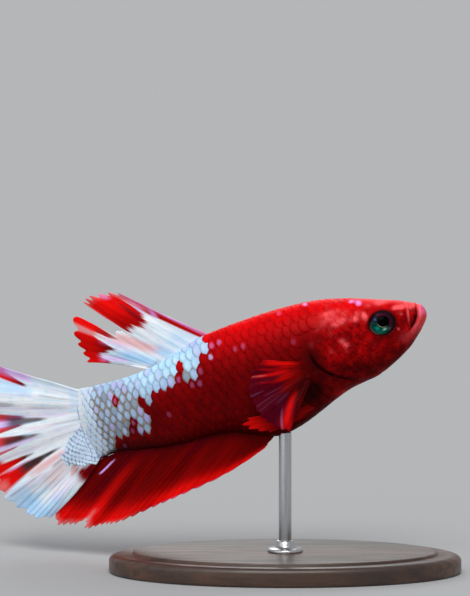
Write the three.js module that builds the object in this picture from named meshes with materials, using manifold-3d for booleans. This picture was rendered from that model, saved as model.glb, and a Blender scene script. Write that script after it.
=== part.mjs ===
// A betta fish: a short-finned male swimming with its tail swept aside, as a still display
// model held by one rod on an oval base.
// Units are millimetres. The fish heads to +X with its nose raised, +Y is its left side and
// +Z is up. The origin is the centre of the base's underside.
//
// The fish is laid out along a bent spine. A point on it is given by
//   s  the distance along the spine from the tip of the snout,
//   h  the height over the spine, towards the back,
//   l  the distance to the left of the fish's middle plane.

import * as THREE from 'three';
import { mergeVertices } from 'three/addons/utils/BufferGeometryUtils.js';
import Module from 'manifold-3d';

const wasm = await Module();
wasm.setup();

// ---- Driving dimensions ------------------------------------------------------------------

const SNOUT = new THREE.Vector3(17.6, 0, 32.1);
const PITCH_DEG = 18.7; // nose up
const BODY_LENGTH = 46.6; // snout to the root of the tail fin, along the spine
const NOSE_RADIUS = 1.5; // how far back the blunt tip of the snout is rounded
const PARTING = 0.3; // clear gap between neighbouring pieces
const FIN_THICKNESS = 0.56;

// Each of these runs along the spine: [s, value].
const SWIM_YAW_DEG = curveThrough([
  [0, -4], [10, -3], [20, 5], [30, 17], [40, 27], [47, 31], [58, 30], [70, 27],
]);
const BACK = curveThrough([
  [0, 1.45], [2.5, 2.85], [5, 3.85], [8, 5.0], [12, 6.15], [16, 6.65], [20, 6.8], [25, 6.7],
  [28, 6.45], [31, 5.75], [34, 5.05], [37, 4.7], [40, 4.6], [44, 4.8], [47, 5.1],
]);
const BELLY = curveThrough([
  [0, -1.3], [2.5, -2.95], [5, -4.25], [8, -5.35], [10, -5.6], [12, -5.85], [14, -6.4],
  [16, -7.15], [18, -7.85], [20, -8.35], [22, -8.55], [24, -8.0], [27, -6.6], [30, -5.95],
  [34, -5.85], [38, -5.5], [42, -4.75], [44.5, -4.5], [47, -4.8],
]);
const HALF_WIDTH = curveThrough([
  [0, 1.5], [2, 2.05], [4, 2.6], [7, 3.25], [10, 3.75], [13, 4.0], [16, 4.0], [20, 3.8],
  [25, 3.3], [30, 2.7], [35, 2.1], [40, 1.55], [44, 1.15], [47, 0.85],
]);
const WIDEST_HEIGHT = curveThrough([
  [0, 0.2], [6, 0.3], [12, -0.2], [20, -0.5], [30, -0.3], [47, 0],
]);
// 2 is an ellipse, more is boxier and less is leaner towards the back and the belly.
const SECTION_FULLNESS = curveThrough([
  [0, 2.0], [6, 2.3], [14, 2.15], [24, 1.95], [34, 1.75], [47, 1.7],
]);

// ---- Curves and the bent frame of the fish -----------------------------------------------

// A smooth function through knots [x, y], level beyond its ends.
function curveThrough(knots) {
  const slope = (i) => {
    const before = knots[Math.max(i - 1, 0)];
    const after = knots[Math.min(i + 1, knots.length - 1)];
    return (after[1] - before[1]) / (after[0] - before[0]);
  };
  return (x) => {
    if (x <= knots[0][0]) return knots[0][1];
    if (x >= knots[knots.length - 1][0]) return knots[knots.length - 1][1];
    const i = knots.findIndex((knot) => knot[0] > x) - 1;
    const [x0, y0] = knots[i];
    const [x1, y1] = knots[i + 1];
    const span = x1 - x0;
    const t = (x - x0) / span;
    const start = y0 * (2 * t ** 3 - 3 * t ** 2 + 1) + slope(i) * span * (t ** 3 - 2 * t ** 2 + t);
    const end = y1 * (3 * t ** 2 - 2 * t ** 3) + slope(i + 1) * span * (t ** 3 - t ** 2);
    return start + end;
  };
}

const PITCH = THREE.MathUtils.degToRad(PITCH_DEG);
const TAILWARD = new THREE.Vector3(-Math.cos(PITCH), 0, -Math.sin(PITCH));
const DORSAL = new THREE.Vector3(-Math.sin(PITCH), 0, Math.cos(PITCH));
const LEFT = new THREE.Vector3(0, 1, 0);

// The spine is walked in short steps once, from just before the snout to past the fin tips.
const SPINE_START = -2;
const SPINE_END = 68;
const SPINE_STEP = 0.1;

function heading(s) {
  const yaw = THREE.MathUtils.degToRad(SWIM_YAW_DEG(s));
  return TAILWARD.clone().multiplyScalar(Math.cos(yaw)).addScaledVector(LEFT, Math.sin(yaw));
}

function leftward(s) {
  const yaw = THREE.MathUtils.degToRad(SWIM_YAW_DEG(s));
  return LEFT.clone().multiplyScalar(Math.cos(yaw)).addScaledVector(TAILWARD, -Math.sin(yaw));
}

const spine = [new THREE.Vector3()];
for (let s = SPINE_START; s < SPINE_END; s += SPINE_STEP) {
  const last = spine[spine.length - 1];
  spine.push(last.clone().addScaledVector(heading(s + SPINE_STEP / 2), SPINE_STEP));
}
const toSnout = SNOUT.clone().sub(spine[Math.round(-SPINE_START / SPINE_STEP)]);
spine.forEach((point) => point.add(toSnout));

function onFish(s, h, l) {
  const steps = (s - SPINE_START) / SPINE_STEP;
  const i = Math.min(Math.max(Math.floor(steps), 0), spine.length - 2);
  return spine[i].clone()
    .lerp(spine[i + 1], steps - i)
    .addScaledVector(DORSAL, h)
    .addScaledVector(leftward(s), l);
}

// ---- Closed solids -----------------------------------------------------------------------

// Moves each vertex of a plain three.js shape to place(x, y, z) and closes it into a solid.
function shaped(geometry, place) {
  const position = geometry.getAttribute('position');
  for (let i = 0; i < position.count; i++) {
    const point = place(position.getX(i), position.getY(i), position.getZ(i));
    position.setXYZ(i, point.x, point.y, point.z);
  }
  return solidOf(geometry);
}

function solidOf(geometry) {
  geometry.deleteAttribute('normal');
  geometry.deleteAttribute('uv');
  const merged = mergeVertices(geometry, 1e-4);
  const vertProperties = Float32Array.from(merged.getAttribute('position').array);
  const corners = merged.index.array;
  const triangles = [];
  for (let i = 0; i < corners.length; i += 3) {
    const [a, b, c] = corners.slice(i, i + 3);
    if (a !== b && b !== c && c !== a) triangles.push([a, b, c]);
  }
  const insideOut = signedVolume(vertProperties, triangles) < 0;
  const faces = triangles.map(([a, b, c]) => (insideOut ? [a, c, b] : [a, b, c]));
  const triVerts = Uint32Array.from(faces.flat());
  return new wasm.Manifold(new wasm.Mesh({ numProp: 3, vertProperties, triVerts }));
}

function signedVolume(vertices, triangles) {
  const corner = (i) => new THREE.Vector3().fromArray(vertices, i * 3);
  const volumes = triangles.map(([a, b, c]) => corner(a).dot(corner(b).cross(corner(c))) / 6);
  return volumes.reduce((sum, volume) => sum + volume, 0);
}

function piece(name, solid, look) {
  const { vertProperties, triVerts } = solid.getMesh();
  const geometry = new THREE.BufferGeometry();
  geometry.setAttribute('position', new THREE.BufferAttribute(vertProperties, 3));
  geometry.setIndex(new THREE.BufferAttribute(triVerts, 1));
  geometry.computeVertexNormals();
  const mesh = new THREE.Mesh(geometry, new THREE.MeshStandardMaterial(look));
  mesh.name = name;
  return mesh;
}

// ---- The body ----------------------------------------------------------------------------

const BODY_SIDES = 24;
const BODY_RINGS = 36;
const FIRST_RING = 0.03; // the snout ends in a tiny flat here
const RING_CROWDING = 1.45; // above 1, the rings crowd towards the snout

// The height and the sideways place of the body's surface at s, for an angle from the back
// round to the left. grow swells the body, or shrinks it where it is below zero.
function section(s, angle, grow) {
  const inNose = Math.min(Math.max(s + grow, 0) / (NOSE_RADIUS + grow), 1);
  const blunt = Math.sqrt(1 - (1 - inNose) ** 2);
  const widest = WIDEST_HEIGHT(s);
  const up = Math.cos(angle);
  const across = Math.sin(angle);
  const reach = up > 0 ? BACK(s) - widest : widest - BELLY(s);
  const power = 2 / SECTION_FULLNESS(s);
  const rise = Math.sign(up) * Math.abs(up) ** power * (reach * blunt + grow);
  const side = Math.sign(across) * Math.abs(across) ** power * (HALF_WIDTH(s) * blunt + grow);
  return { widest, rise, side };
}

function body(grow) {
  const plain = new THREE.CylinderGeometry(1, 1, 1, BODY_SIDES, BODY_RINGS);
  return shaped(plain, (x, y, z) => {
    const along = (0.5 - y) ** RING_CROWDING;
    const s = FIRST_RING - grow + along * (BODY_LENGTH - FIRST_RING + 2 * grow);
    const { widest, rise, side } = section(s, Math.atan2(x, z), grow);
    const out = Math.round(Math.hypot(x, z)); // 0 at the middle of an end cap
    return onFish(s, widest + out * rise, out * side);
  });
}

const CLEAR = 12; // a cut this far out is past the body on every side

// A closed side-view outline [s, h], taken straight through the fish from one l to another.
function throughFish(outline, from = -CLEAR, to = CLEAR) {
  const shape = new THREE.Shape(outline.map(([s, h]) => new THREE.Vector2(s, h)));
  const plain = new THREE.ExtrudeGeometry(shape, { depth: to - from, bevelEnabled: false });
  return shaped(plain, (x, y, z) => onFish(x, y, from + z));
}

function smoothLine(points, count) {
  const spline = new THREE.SplineCurve(points.map(([s, h]) => new THREE.Vector2(s, h)));
  return spline.getPoints(count).map((point) => [point.x, point.y]);
}

function shifted(line, ds, dh) {
  return line.map(([s, h]) => [s + ds, h + dh]);
}

// The rear edge of the head, down the gill opening and forwards to the throat.
const GILL_EDGE = smoothLine([
  [12.2, 7.6], [12.6, 5.4], [13.5, 3.5], [14.8, 1.8], [15.1, 0.2], [14.6, -1.8], [13.3, -3.5],
  [11.2, -4.6], [9.3, -5.2], [8.4, -6.6],
], 18);
// The gill cover is a plate behind the cheek. This is its front edge.
const COVER_TOP = 4.1;
const COVER_BOTTOM = -4.2;
const COVER_THICKNESS = 0.7;
const CHEEK_EDGE = smoothLine([
  [10.9, COVER_TOP], [9.4, 2.6], [8.8, 0.4], [9.0, -2.2], [9.9, COVER_BOTTOM],
], 9);
const BEHIND_GILLS = 16.5;
// The mouth's cleft, down from the tip of the snout, and the rear edge of the lower jaw.
const MOUTH_LINE = [
  [-1.2, 2.9], [0.5, 1.6], [1.4, -0.1], [2.3, -1.0], [3.6, -1.9], [4.5, -3.0], [4.9, -5.6],
];
// The cut between the trunk and the tail stalk.
const TAIL_CUT = 31.5;

// Side-view outlines [s, h] of the parts, and the same grown by the parting gap. A slanting
// edge is shifted along both axes.
const SLANT = PARTING * 0.75;
const frontOf = (edge) => [
  [-CLEAR, -CLEAR], [-CLEAR, CLEAR], [edge[0][0], CLEAR], ...edge,
  [edge[edge.length - 1][0], -CLEAR],
];
const coverWithin = (edge, top, bottom) => [
  [edge[0][0], top], ...edge, [edge[edge.length - 1][0], bottom],
  [BEHIND_GILLS, bottom], [BEHIND_GILLS, top],
];
const beforeMouth = (line) => [
  [-CLEAR, line[0][1]], ...line, [line[line.length - 1][0], -CLEAR], [-CLEAR, -CLEAR],
];
const stretch = (from, to) => [[from, -CLEAR], [to, -CLEAR], [to, CLEAR], [from, CLEAR]];

const wholeBody = body(0);
const bodyClearance = body(PARTING);

// ---- Eyes --------------------------------------------------------------------------------

const EYE = { s: 5.95, h: 1.05, radius: 1.63, depth: 1.15, stand: 0.42, forwardDeg: 12 };

function eyeball(side, grow) {
  const centre = section(EYE.s, Math.PI / 2, 0).side + EYE.stand - EYE.depth;
  const turn = THREE.MathUtils.degToRad(EYE.forwardDeg);
  const plain = new THREE.SphereGeometry(1, 16, 9);
  return shaped(plain, (x, y, z) => {
    const along = (EYE.radius + grow) * x;
    const out = (EYE.depth + grow) * z;
    const s = EYE.s + along * Math.cos(turn) - out * Math.sin(turn);
    const l = centre + along * Math.sin(turn) + out * Math.cos(turn);
    return onFish(s, EYE.h + (EYE.radius + grow) * y, side * l);
  });
}

// ---- Fins --------------------------------------------------------------------------------

// A fin is a thin slab whose rays run from its root to its margin. place(u, v) gives [s, h, l]
// for a ray u from 0 to 1 and a share v of its length, and lift is the way its face looks.
function fin(rays, steps, place, lift) {
  const plain = new THREE.BoxGeometry(1, 1, 1, rays, steps, 1);
  return shaped(plain, (x, y, z) => {
    const [s, h, l] = place(x + 0.5, y + 0.5);
    const [ds, dh, dl] = lift;
    const off = z * FIN_THICKNESS;
    return onFish(s + ds * off, h + dh * off, l + dl * off);
  });
}

// The end of a ray that leaves [s, h] at an angle over the spine and bends by bendDeg.
function alongRay(s, h, angleDeg, bendDeg, reach, v) {
  const angle = THREE.MathUtils.degToRad(angleDeg + (bendDeg * v) / 2);
  return [s + reach * v * Math.cos(angle), h + reach * v * Math.sin(angle)];
}

const SIDEWAYS = [0, 0, 1];
const TEAR = { at: 0.5, depth: 0.48 }; // the dorsal fin's margin is torn once
const ROOT_DEPTH = 1.2; // how far a fin's slab starts inside the body, before it is trimmed

function dorsalFin() {
  const rootAt = curveThrough([[0, 26.7], [0.5, 33.2], [0.75, 34.4], [1, 35.1]]);
  const angle = curveThrough([
    [0, 42], [0.15, 44], [0.45, 48], [0.55, 47], [0.75, 34.6], [1, 22.7],
  ]);
  const reach = curveThrough([
    [0, 13.2], [0.15, 14], [0.3, 14.4], [0.45, 14], [0.55, 14.2], [0.75, 12.38], [1, 9.64],
  ]);
  const torn = (u) => (Math.abs(u - TEAR.at) < 0.01 ? TEAR.depth : 0);
  return fin(24, 5, (u, v) => {
    const length = reach(u) * (1 - torn(u)) + ROOT_DEPTH;
    const s = rootAt(u) - ROOT_DEPTH * 0.8;
    const h = BACK(rootAt(u)) - ROOT_DEPTH;
    return [...alongRay(s, h, angle(u), 0, length, v), 0.25 * v * Math.sin(u * Math.PI * 5)];
  }, SIDEWAYS);
}

// Where the anal fin's rear and the tail fin's lower lobe meet, each steps aside by this much.
const LOBE_OFFSET = 0.5;

function asideAt(u, v) {
  return u ** 3 * Math.min(4 * v, 1);
}

function caudalFin() {
  const reach = curveThrough([
    [0, 13.2], [0.1, 15.8], [0.2, 17.3], [0.35, 18.2], [0.5, 18.4], [0.7, 17.8], [0.8, 16.8],
    [0.9, 15], [1, 12.4],
  ]);
  const rootTop = 4.7;
  const rootBottom = -4.4;
  return fin(28, 5, (u, v) => {
    const s = BODY_LENGTH + PARTING;
    const h = rootTop + (rootBottom - rootTop) * u;
    const angle = 29.5 - 65.5 * u;
    const pleat = 0.45 * v * Math.sin(u * Math.PI * 8);
    const lean = -LOBE_OFFSET * asideAt(u, v); // the lower lobe passes the anal fin on its right
    return [...alongRay(s, h, angle, 16 * u ** 3, reach(u), v), pleat + lean];
  }, SIDEWAYS);
}

function analFin() {
  const angle = curveThrough([
    [0, -36], [0.15, -32], [0.3, -30], [0.5, -27], [0.7, -27.2], [0.9, -27.4], [1, -22],
  ]);
  const reach = curveThrough([
    [0, 2.4], [0.15, 9.2], [0.3, 13.1], [0.5, 16.9], [0.7, 16.8], [0.85, 14.7], [0.93, 14.5],
    [1, 13],
  ]);
  return fin(28, 5, (u, v) => {
    const rootAt = 22.6 + 23.2 * u;
    const s = rootAt - ROOT_DEPTH * 0.8;
    const h = BELLY(rootAt) + ROOT_DEPTH - 0.9 * u;
    const pleat = 0.3 * v * Math.sin(u * Math.PI * 8);
    const lean = LOBE_OFFSET * asideAt(u, v) + 0.3 * u * v;
    const length = reach(u) + ROOT_DEPTH;
    return [...alongRay(s, h, angle(u), 0, length, v), pleat + lean];
  }, SIDEWAYS);
}

const PECTORAL = { s: 15.9, h: -1.6, rootHeight: 1.5, spreadFromDeg: 26, spreadToDeg: -51 };

function pectoralFin(side) {
  const reach = curveThrough([[0, 5.2], [0.25, 6.9], [0.5, 7.5], [0.75, 7.6], [1, 7.1]]);
  return fin(14, 5, (u, v) => {
    const angle = PECTORAL.spreadFromDeg + (PECTORAL.spreadToDeg - PECTORAL.spreadFromDeg) * u;
    const h = PECTORAL.h + PECTORAL.rootHeight * (0.5 - u);
    const [s, height] = alongRay(PECTORAL.s, h, angle, 0, reach(u), v);
    const out = 3.2 + 3.1 * v - 0.8 * v * v + 0.15 * v * Math.sin(u * Math.PI * 7);
    return [s, height, side * out];
  }, [-0.3, 0, side]);
}

const PELVIC = { s: 15.6, h: -6.2, rootHeight: 0.5, topDeg: 9, spreadDeg: 14 };

function pelvicFin(side) {
  const reach = curveThrough([[0, 9], [0.3, 9.7], [1, 7]]);
  return fin(5, 8, (u, v) => {
    const h = PELVIC.h - PELVIC.rootHeight * u;
    const angle = PELVIC.topDeg - PELVIC.spreadDeg * u;
    const [s, height] = alongRay(PELVIC.s, h, angle, 0, reach(u), v);
    const out = 1.7 + 2.6 * Math.sin(v * Math.PI * 0.5);
    return [s, height, side * out];
  }, [-0.2, -0.3, side]);
}

// ---- The display stand -------------------------------------------------------------------

const STAND = { length: 44, width: 24, height: 2.6, bevel: 0.5 };
const ROD = { x: 0, y: -0.6, radius: 0.8, sink: 1.2, top: 24 };

function standBase() {
  const { height, bevel } = STAND;
  const inner = 1 - bevel / (STAND.width / 2);
  const profile = [
    [0, 0], [inner, 0], [1, bevel], [1, height - bevel], [inner, height], [0, height],
  ];
  const points = profile.map(([radius, z]) => new THREE.Vector2(radius, z));
  const oval = shaped(new THREE.LatheGeometry(points, 40), (x, y, z) => (
    new THREE.Vector3((x * STAND.length) / 2, (z * STAND.width) / 2, y)
  ));
  const socket = upright(ROD.radius + PARTING, height - ROD.sink - PARTING, height + 1);
  return oval.subtract(socket);
}

function upright(radius, bottom, top) {
  const plain = new THREE.CylinderGeometry(radius, radius, top - bottom, 16);
  return shaped(plain, (x, y, z) => (
    new THREE.Vector3(ROD.x + x, ROD.y + z, (bottom + top) / 2 + y)
  ));
}

// ---- Looks and assembly ------------------------------------------------------------------

const RED_SKIN = { color: 0x9c0a12, roughness: 0.35, metalness: 0 };
const FIN_RED = { color: 0xb01016, roughness: 0.45, metalness: 0 };
const PALE_FIN = { color: 0xd8e4f2, roughness: 0.45, metalness: 0 };
const EYE_GREEN = { color: 0x123a35, roughness: 0.1, metalness: 0 };
const DARK_WOOD = { color: 0x33241c, roughness: 0.45, metalness: 0 };
const BRUSHED_STEEL = { color: 0xb8bbbe, roughness: 0.3, metalness: 1 };

const fish = new THREE.Group();

const frontPart = wholeBody.intersect(throughFish(frontOf(GILL_EDGE)));
const coverPlate = throughFish(coverWithin(CHEEK_EDGE, COVER_TOP, COVER_BOTTOM));
const covers = frontPart.intersect(coverPlate).subtract(body(-COVER_THICKNESS));
const coverRoom = throughFish(coverWithin(
  shifted(CHEEK_EDGE, -PARTING, 0), COVER_TOP + PARTING, COVER_BOTTOM - PARTING,
));
const sockets = eyeball(1, PARTING).add(eyeball(-1, PARTING));
const head = frontPart
  .subtract(coverRoom.subtract(body(-COVER_THICKNESS - PARTING)))
  .subtract(throughFish(beforeMouth(shifted(MOUTH_LINE, SLANT, SLANT))))
  .subtract(sockets);
fish.add(piece('head', head, RED_SKIN));

const jaw = frontPart.intersect(throughFish(beforeMouth(MOUTH_LINE)));
fish.add(piece('jaw_lower', jaw, RED_SKIN));

const trunk = wholeBody
  .subtract(throughFish(frontOf(shifted(GILL_EDGE, SLANT, -SLANT))))
  .intersect(throughFish(stretch(0, TAIL_CUT)));
fish.add(piece('trunk', trunk, RED_SKIN));

const tailStalk = wholeBody.intersect(throughFish(stretch(TAIL_CUT + PARTING, SPINE_END)));
fish.add(piece('tail_stalk', tailStalk, RED_SKIN));

fish.add(piece('fin_dorsal', dorsalFin().subtract(bodyClearance), PALE_FIN));
fish.add(piece('fin_caudal', caudalFin(), PALE_FIN));
fish.add(piece('fin_anal', analFin().subtract(bodyClearance), FIN_RED));

const SIDES = [['left', 1], ['right', -1]];
for (const [name, side] of SIDES) {
  const [from, to] = [0, side * CLEAR].sort((a, b) => a - b);
  const half = throughFish(stretch(0, BEHIND_GILLS), from, to);
  fish.add(piece(`gill_cover_${name}`, covers.intersect(half), RED_SKIN));
  fish.add(piece(`eye_${name}`, eyeball(side, 0), EYE_GREEN));
  fish.add(piece(`fin_pectoral_${name}`, pectoralFin(side).subtract(bodyClearance), FIN_RED));
  fish.add(piece(`fin_pelvic_${name}`, pelvicFin(side).subtract(bodyClearance), FIN_RED));
}

const rod = upright(ROD.radius, STAND.height - ROD.sink, ROD.top).subtract(bodyClearance);
fish.add(piece('stand_base', standBase(), DARK_WOOD));
fish.add(piece('stand_rod', rod, BRUSHED_STEEL));

export default fish;
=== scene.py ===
"""The looks of a betta fish: red, with pale blue scales over its tail stalk and pale, red-edged
fins, held by a rod on an oval wooden base.

The fish is laid out along a bent spine. A point on it has a distance s along the spine from
the tip of the snout, a height h over the spine, and a distance l to the left of the middle
plane. All three are in millimetres, and meshes are made in metres.
"""

import math

import bmesh
import bpy
import numpy as np
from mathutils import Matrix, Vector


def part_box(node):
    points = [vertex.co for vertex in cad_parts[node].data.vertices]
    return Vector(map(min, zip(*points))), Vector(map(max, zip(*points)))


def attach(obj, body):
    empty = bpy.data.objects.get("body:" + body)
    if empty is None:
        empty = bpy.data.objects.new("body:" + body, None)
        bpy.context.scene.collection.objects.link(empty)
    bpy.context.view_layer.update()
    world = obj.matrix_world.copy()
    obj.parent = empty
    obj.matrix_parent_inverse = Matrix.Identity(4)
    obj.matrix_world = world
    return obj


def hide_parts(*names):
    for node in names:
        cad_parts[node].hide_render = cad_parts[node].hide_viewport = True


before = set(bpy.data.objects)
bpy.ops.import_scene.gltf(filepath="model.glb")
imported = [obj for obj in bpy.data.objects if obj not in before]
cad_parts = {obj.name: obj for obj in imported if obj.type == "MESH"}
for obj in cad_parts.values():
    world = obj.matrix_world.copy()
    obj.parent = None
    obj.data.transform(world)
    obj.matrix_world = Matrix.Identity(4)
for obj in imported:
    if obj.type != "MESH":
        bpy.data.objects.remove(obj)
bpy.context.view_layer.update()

MM = 0.001
TAU = 2 * math.pi
SIDES = (("right", -1), ("left", 1))


def add_object(name, data):
    """A new object in the scene that holds this mesh, lamp or camera."""
    thing = bpy.data.objects.new(name, data)
    bpy.context.collection.objects.link(thing)
    return thing


# ---- Camera ---------------------------------------------------------------------------------


def set_camera():
    """A long lens, level with the fish, square to its right side."""
    data = bpy.data.cameras.new("camera")
    data.lens = 100
    data.sensor_width = 36
    camera = add_object("camera", data)
    camera.location = (-0.00625, -0.207, 0.0342)
    camera.rotation_euler = (math.radians(90), 0, 0)
    bpy.context.scene.camera = camera


# ---- Curves and the bent frame of the fish --------------------------------------------------


def curve_through(knots):
    """A smooth function through knots (x, y), level beyond its ends."""
    x, y = np.array(knots, float).T
    slope = np.empty_like(y)
    slope[1:-1] = (y[2:] - y[:-2]) / (x[2:] - x[:-2])
    slope[0] = (y[1] - y[0]) / (x[1] - x[0])
    slope[-1] = (y[-1] - y[-2]) / (x[-1] - x[-2])

    def value(at):
        at = np.clip(at, x[0], x[-1])
        i = np.clip(np.searchsorted(x, at, side="right") - 1, 0, len(x) - 2)
        span = x[i + 1] - x[i]
        t = (at - x[i]) / span
        start = y[i] * (2 * t**3 - 3 * t**2 + 1) + slope[i] * span * (t**3 - 2 * t**2 + t)
        end = y[i + 1] * (3 * t**2 - 2 * t**3) + slope[i + 1] * span * (t**3 - t**2)
        return start + end

    return value


def ease(low, high, x):
    """0 below low, 1 above high and smooth between. low may be the larger one."""
    t = np.clip((np.asarray(x, float) - low) / (high - low), 0, 1)
    return t * t * (3 - 2 * t)


def bell(x, width):
    """1 at x = 0, falling away smoothly on both sides."""
    return np.exp(-((np.asarray(x) / width) ** 2))


def oval(s, h, at_s, at_h, half_s, half_h):
    """How far (s, h) is from the middle of an oval, where 1 is its edge."""
    return np.hypot((s - at_s) / half_s, (h - at_h) / half_h)


def blob(s, h, at_s, at_h, half_s, half_h):
    """1 at the middle of a soft oval, falling away all round."""
    return bell(oval(s, h, at_s, at_h, half_s, half_h), 1)


SNOUT = np.array([17.6, 0, 32.1])  # where the spine has s = 0, in mm
PITCH = math.radians(18.7)  # nose up
NOSE_RADIUS = 1.1  # how far back the blunt tip of the snout is rounded

SWIM_YAW_DEG = curve_through(
    [(0, -4), (10, -3), (20, 5), (30, 17), (40, 27), (47, 31), (58, 30), (70, 27)]
)
BACK = curve_through([
    (0, 1.95), (0.4, 1.82), (1, 1.98), (2.5, 2.85), (5, 3.85), (8, 5.0), (12, 6.15), (16, 6.65),
    (20, 6.8), (25, 6.7), (28, 6.45), (31, 5.75), (34, 5.05), (37, 4.7), (40, 4.6), (44, 4.8),
    (47, 5.1),
])
BELLY = curve_through([
    (0, -0.75), (0.5, -1.0), (0.9, -1.25), (1.5, -1.9), (2.5, -2.8), (3.2, -3.3), (5, -4.25),
    (8, -5.35), (10, -5.6), (12, -5.85), (14, -6.4), (16, -7.15), (18, -7.85), (20, -8.35),
    (22, -8.55), (24, -8.0), (27, -6.6), (30, -5.95), (34, -5.85), (38, -5.5), (42, -4.75),
    (44.5, -4.5), (47, -4.8),
])
HALF_WIDTH = curve_through([
    (0, 1.5), (2, 2.05), (4, 2.6), (7, 3.25), (10, 3.75), (13, 4.0), (16, 4.0), (20, 3.8),
    (25, 3.3), (30, 2.7), (35, 2.1), (40, 1.55), (44, 1.15), (47, 0.85),
])
WIDEST_HEIGHT = curve_through(
    [(0, 0.45), (1.5, 0.25), (6, 0.3), (12, -0.2), (20, -0.5), (30, -0.3), (47, 0)]
)
SECTION_FULLNESS = curve_through(
    [(0, 2.0), (6, 2.3), (14, 2.15), (24, 1.95), (34, 1.75), (47, 1.7)]
)

TAILWARD = np.array([-math.cos(PITCH), 0, -math.sin(PITCH)])
DORSAL = np.array([-math.sin(PITCH), 0, math.cos(PITCH)])
LEFT = np.array([0, 1.0, 0])


def walk_spine(first=-2, last=68, step=0.1):
    """The spine's points, walked in short steps, and the s of each."""
    s = np.arange(first, last + step / 2, step)
    yaw = np.radians(SWIM_YAW_DEG(s[:-1] + step / 2))[:, None]
    ahead = np.cos(yaw) * TAILWARD + np.sin(yaw) * LEFT
    points = np.vstack([np.zeros(3), np.cumsum(ahead * step, axis=0)])
    at_snout = np.argmin(abs(s))
    return s, points - points[at_snout] + SNOUT


SPINE_S, SPINE = walk_spine()


def on_fish(s, h, l):
    """Points, in mm, at s along the spine, h over it and l to its left."""
    s, h, l = np.broadcast_arrays(*[np.asarray(value, float) for value in (s, h, l)])
    centre = np.stack([np.interp(s, SPINE_S, SPINE[:, axis]) for axis in range(3)], axis=-1)
    yaw = np.radians(SWIM_YAW_DEG(s))[..., None]
    leftward = np.cos(yaw) * LEFT - np.sin(yaw) * TAILWARD
    return centre + h[..., None] * DORSAL + l[..., None] * leftward


# ---- Lines drawn on the side of the fish ----------------------------------------------------


def smooth_line(points, per_span=6):
    """A dense line [s, h] through a few points."""
    points = np.array(points, float)
    at = np.arange(len(points))
    fine = np.linspace(0, len(points) - 1, (len(points) - 1) * per_span + 1)
    return np.stack([curve_through(list(zip(at, points[:, k])))(fine) for k in (0, 1)], axis=1)


def off_line(line, s, h):
    """How far (s, h) lies from the line, and on which side: above 0 on the line's left as it
    is walked. Also how far along the line the nearest point is, from 0 to 1."""
    s, h = np.asarray(s, float), np.asarray(h, float)
    nearest = np.full(s.shape, np.inf)
    side = np.ones(s.shape)
    along = np.zeros(s.shape)
    spans = len(line) - 1
    for i in range(spans):
        ds, dh = line[i + 1] - line[i]
        from_s, from_h = s - line[i][0], h - line[i][1]
        t = np.clip((from_s * ds + from_h * dh) / (ds * ds + dh * dh), 0, 1)
        gap = np.hypot(from_s - t * ds, from_h - t * dh)
        closer = gap < nearest
        nearest = np.where(closer, gap, nearest)
        side = np.where(closer, np.sign(ds * from_h - dh * from_s), side)
        along = np.where(closer, (i + t) / spans, along)
    return nearest * side, along


MOUTH = smooth_line(
    [(0.5, 2.1), (0.72, 1.6), (0.98, 1.2), (1.14, 0.75), (1.36, 0.22), (1.8, -0.45), (2.4, -0.86)]
)
MAXILLA = smooth_line([(2.0, 2.4), (2.14, 1.8), (2.42, 0.9), (2.64, 0.0), (2.78, -0.7)])
MOUTH_POCKET = smooth_line([(1.65, 0.3), (1.95, -0.1), (2.35, -0.6)])
GILL_EDGE = smooth_line([
    (12.2, 7.6), (12.6, 5.4), (13.5, 3.5), (14.8, 1.8), (15.3, 0.2), (14.85, -1.5), (13.8, -2.85),
    (12.3, -4.0), (10.6, -4.8), (8.4, -5.6), (7.0, -6.6),
])
CHEEK_EDGE = smooth_line(
    [(8.9, 4.2), (9.9, 2.9), (10.7, 1.2), (10.9, -0.6), (10.5, -2.3), (9.4, -3.8), (7.2, -4.3)]
)
EYE = {"s": 6.0, "h": 0.87, "half_length": 1.9, "half_height": 1.64, "depth": 1.2,
       "stand": 0.4, "forward_deg": 4}
EYE_FIT = 0.985  # the eyeball's length and height, as a share of the eye's
PUPIL = (-0.057, 0.122)  # its middle in the iris, where the iris reaches out to 1
NOSTRIL = (3.3, 1.25)
PORES = [(4.25, -0.42), (5.2, -1.9), (3.9, 2.1)]


# ---- The body's skin: its shape -------------------------------------------------------------

SKIN_DEPTH = 0.12  # the skin lies this far inside the outer form, and the scales fill it up
NOSE_REACH = 0.28  # the lips stand this far ahead of the head's plain form
TAIL_BOW = 1.3  # the scaled end of the tail stalk bows back over the tail fin's root
SKIN_END = 47.2


def section(s, angle, grow):
    """The body's widest height, and how far its surface is over that and to the left of the
    middle, for an angle from the back round to the left."""
    in_nose = np.clip((s + grow) / (NOSE_RADIUS + grow), 0, 1)
    blunt = np.sqrt(1 - (1 - in_nose) ** 2)
    widest = WIDEST_HEIGHT(s)
    up, across = np.cos(angle), np.sin(angle)
    reach = np.where(up > 0, BACK(s) - widest, widest - BELLY(s))
    power = 2 / SECTION_FULLNESS(s)
    rise = np.sign(up) * abs(up) ** power * (reach * blunt + grow * blunt)
    wedge = 1 - 0.72 * ease(44.5, SKIN_END, s)
    side = np.sign(across) * abs(across) ** power * (HALF_WIDTH(s) * blunt * wedge + grow * blunt)
    return widest, rise, side


def off_eye(s, h):
    """How far (s, h) is from the eye's middle, where half the eye's length is its edge."""
    return np.hypot(s - EYE["s"], (h - EYE["h"]) * EYE["half_length"] / EYE["half_height"])


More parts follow.
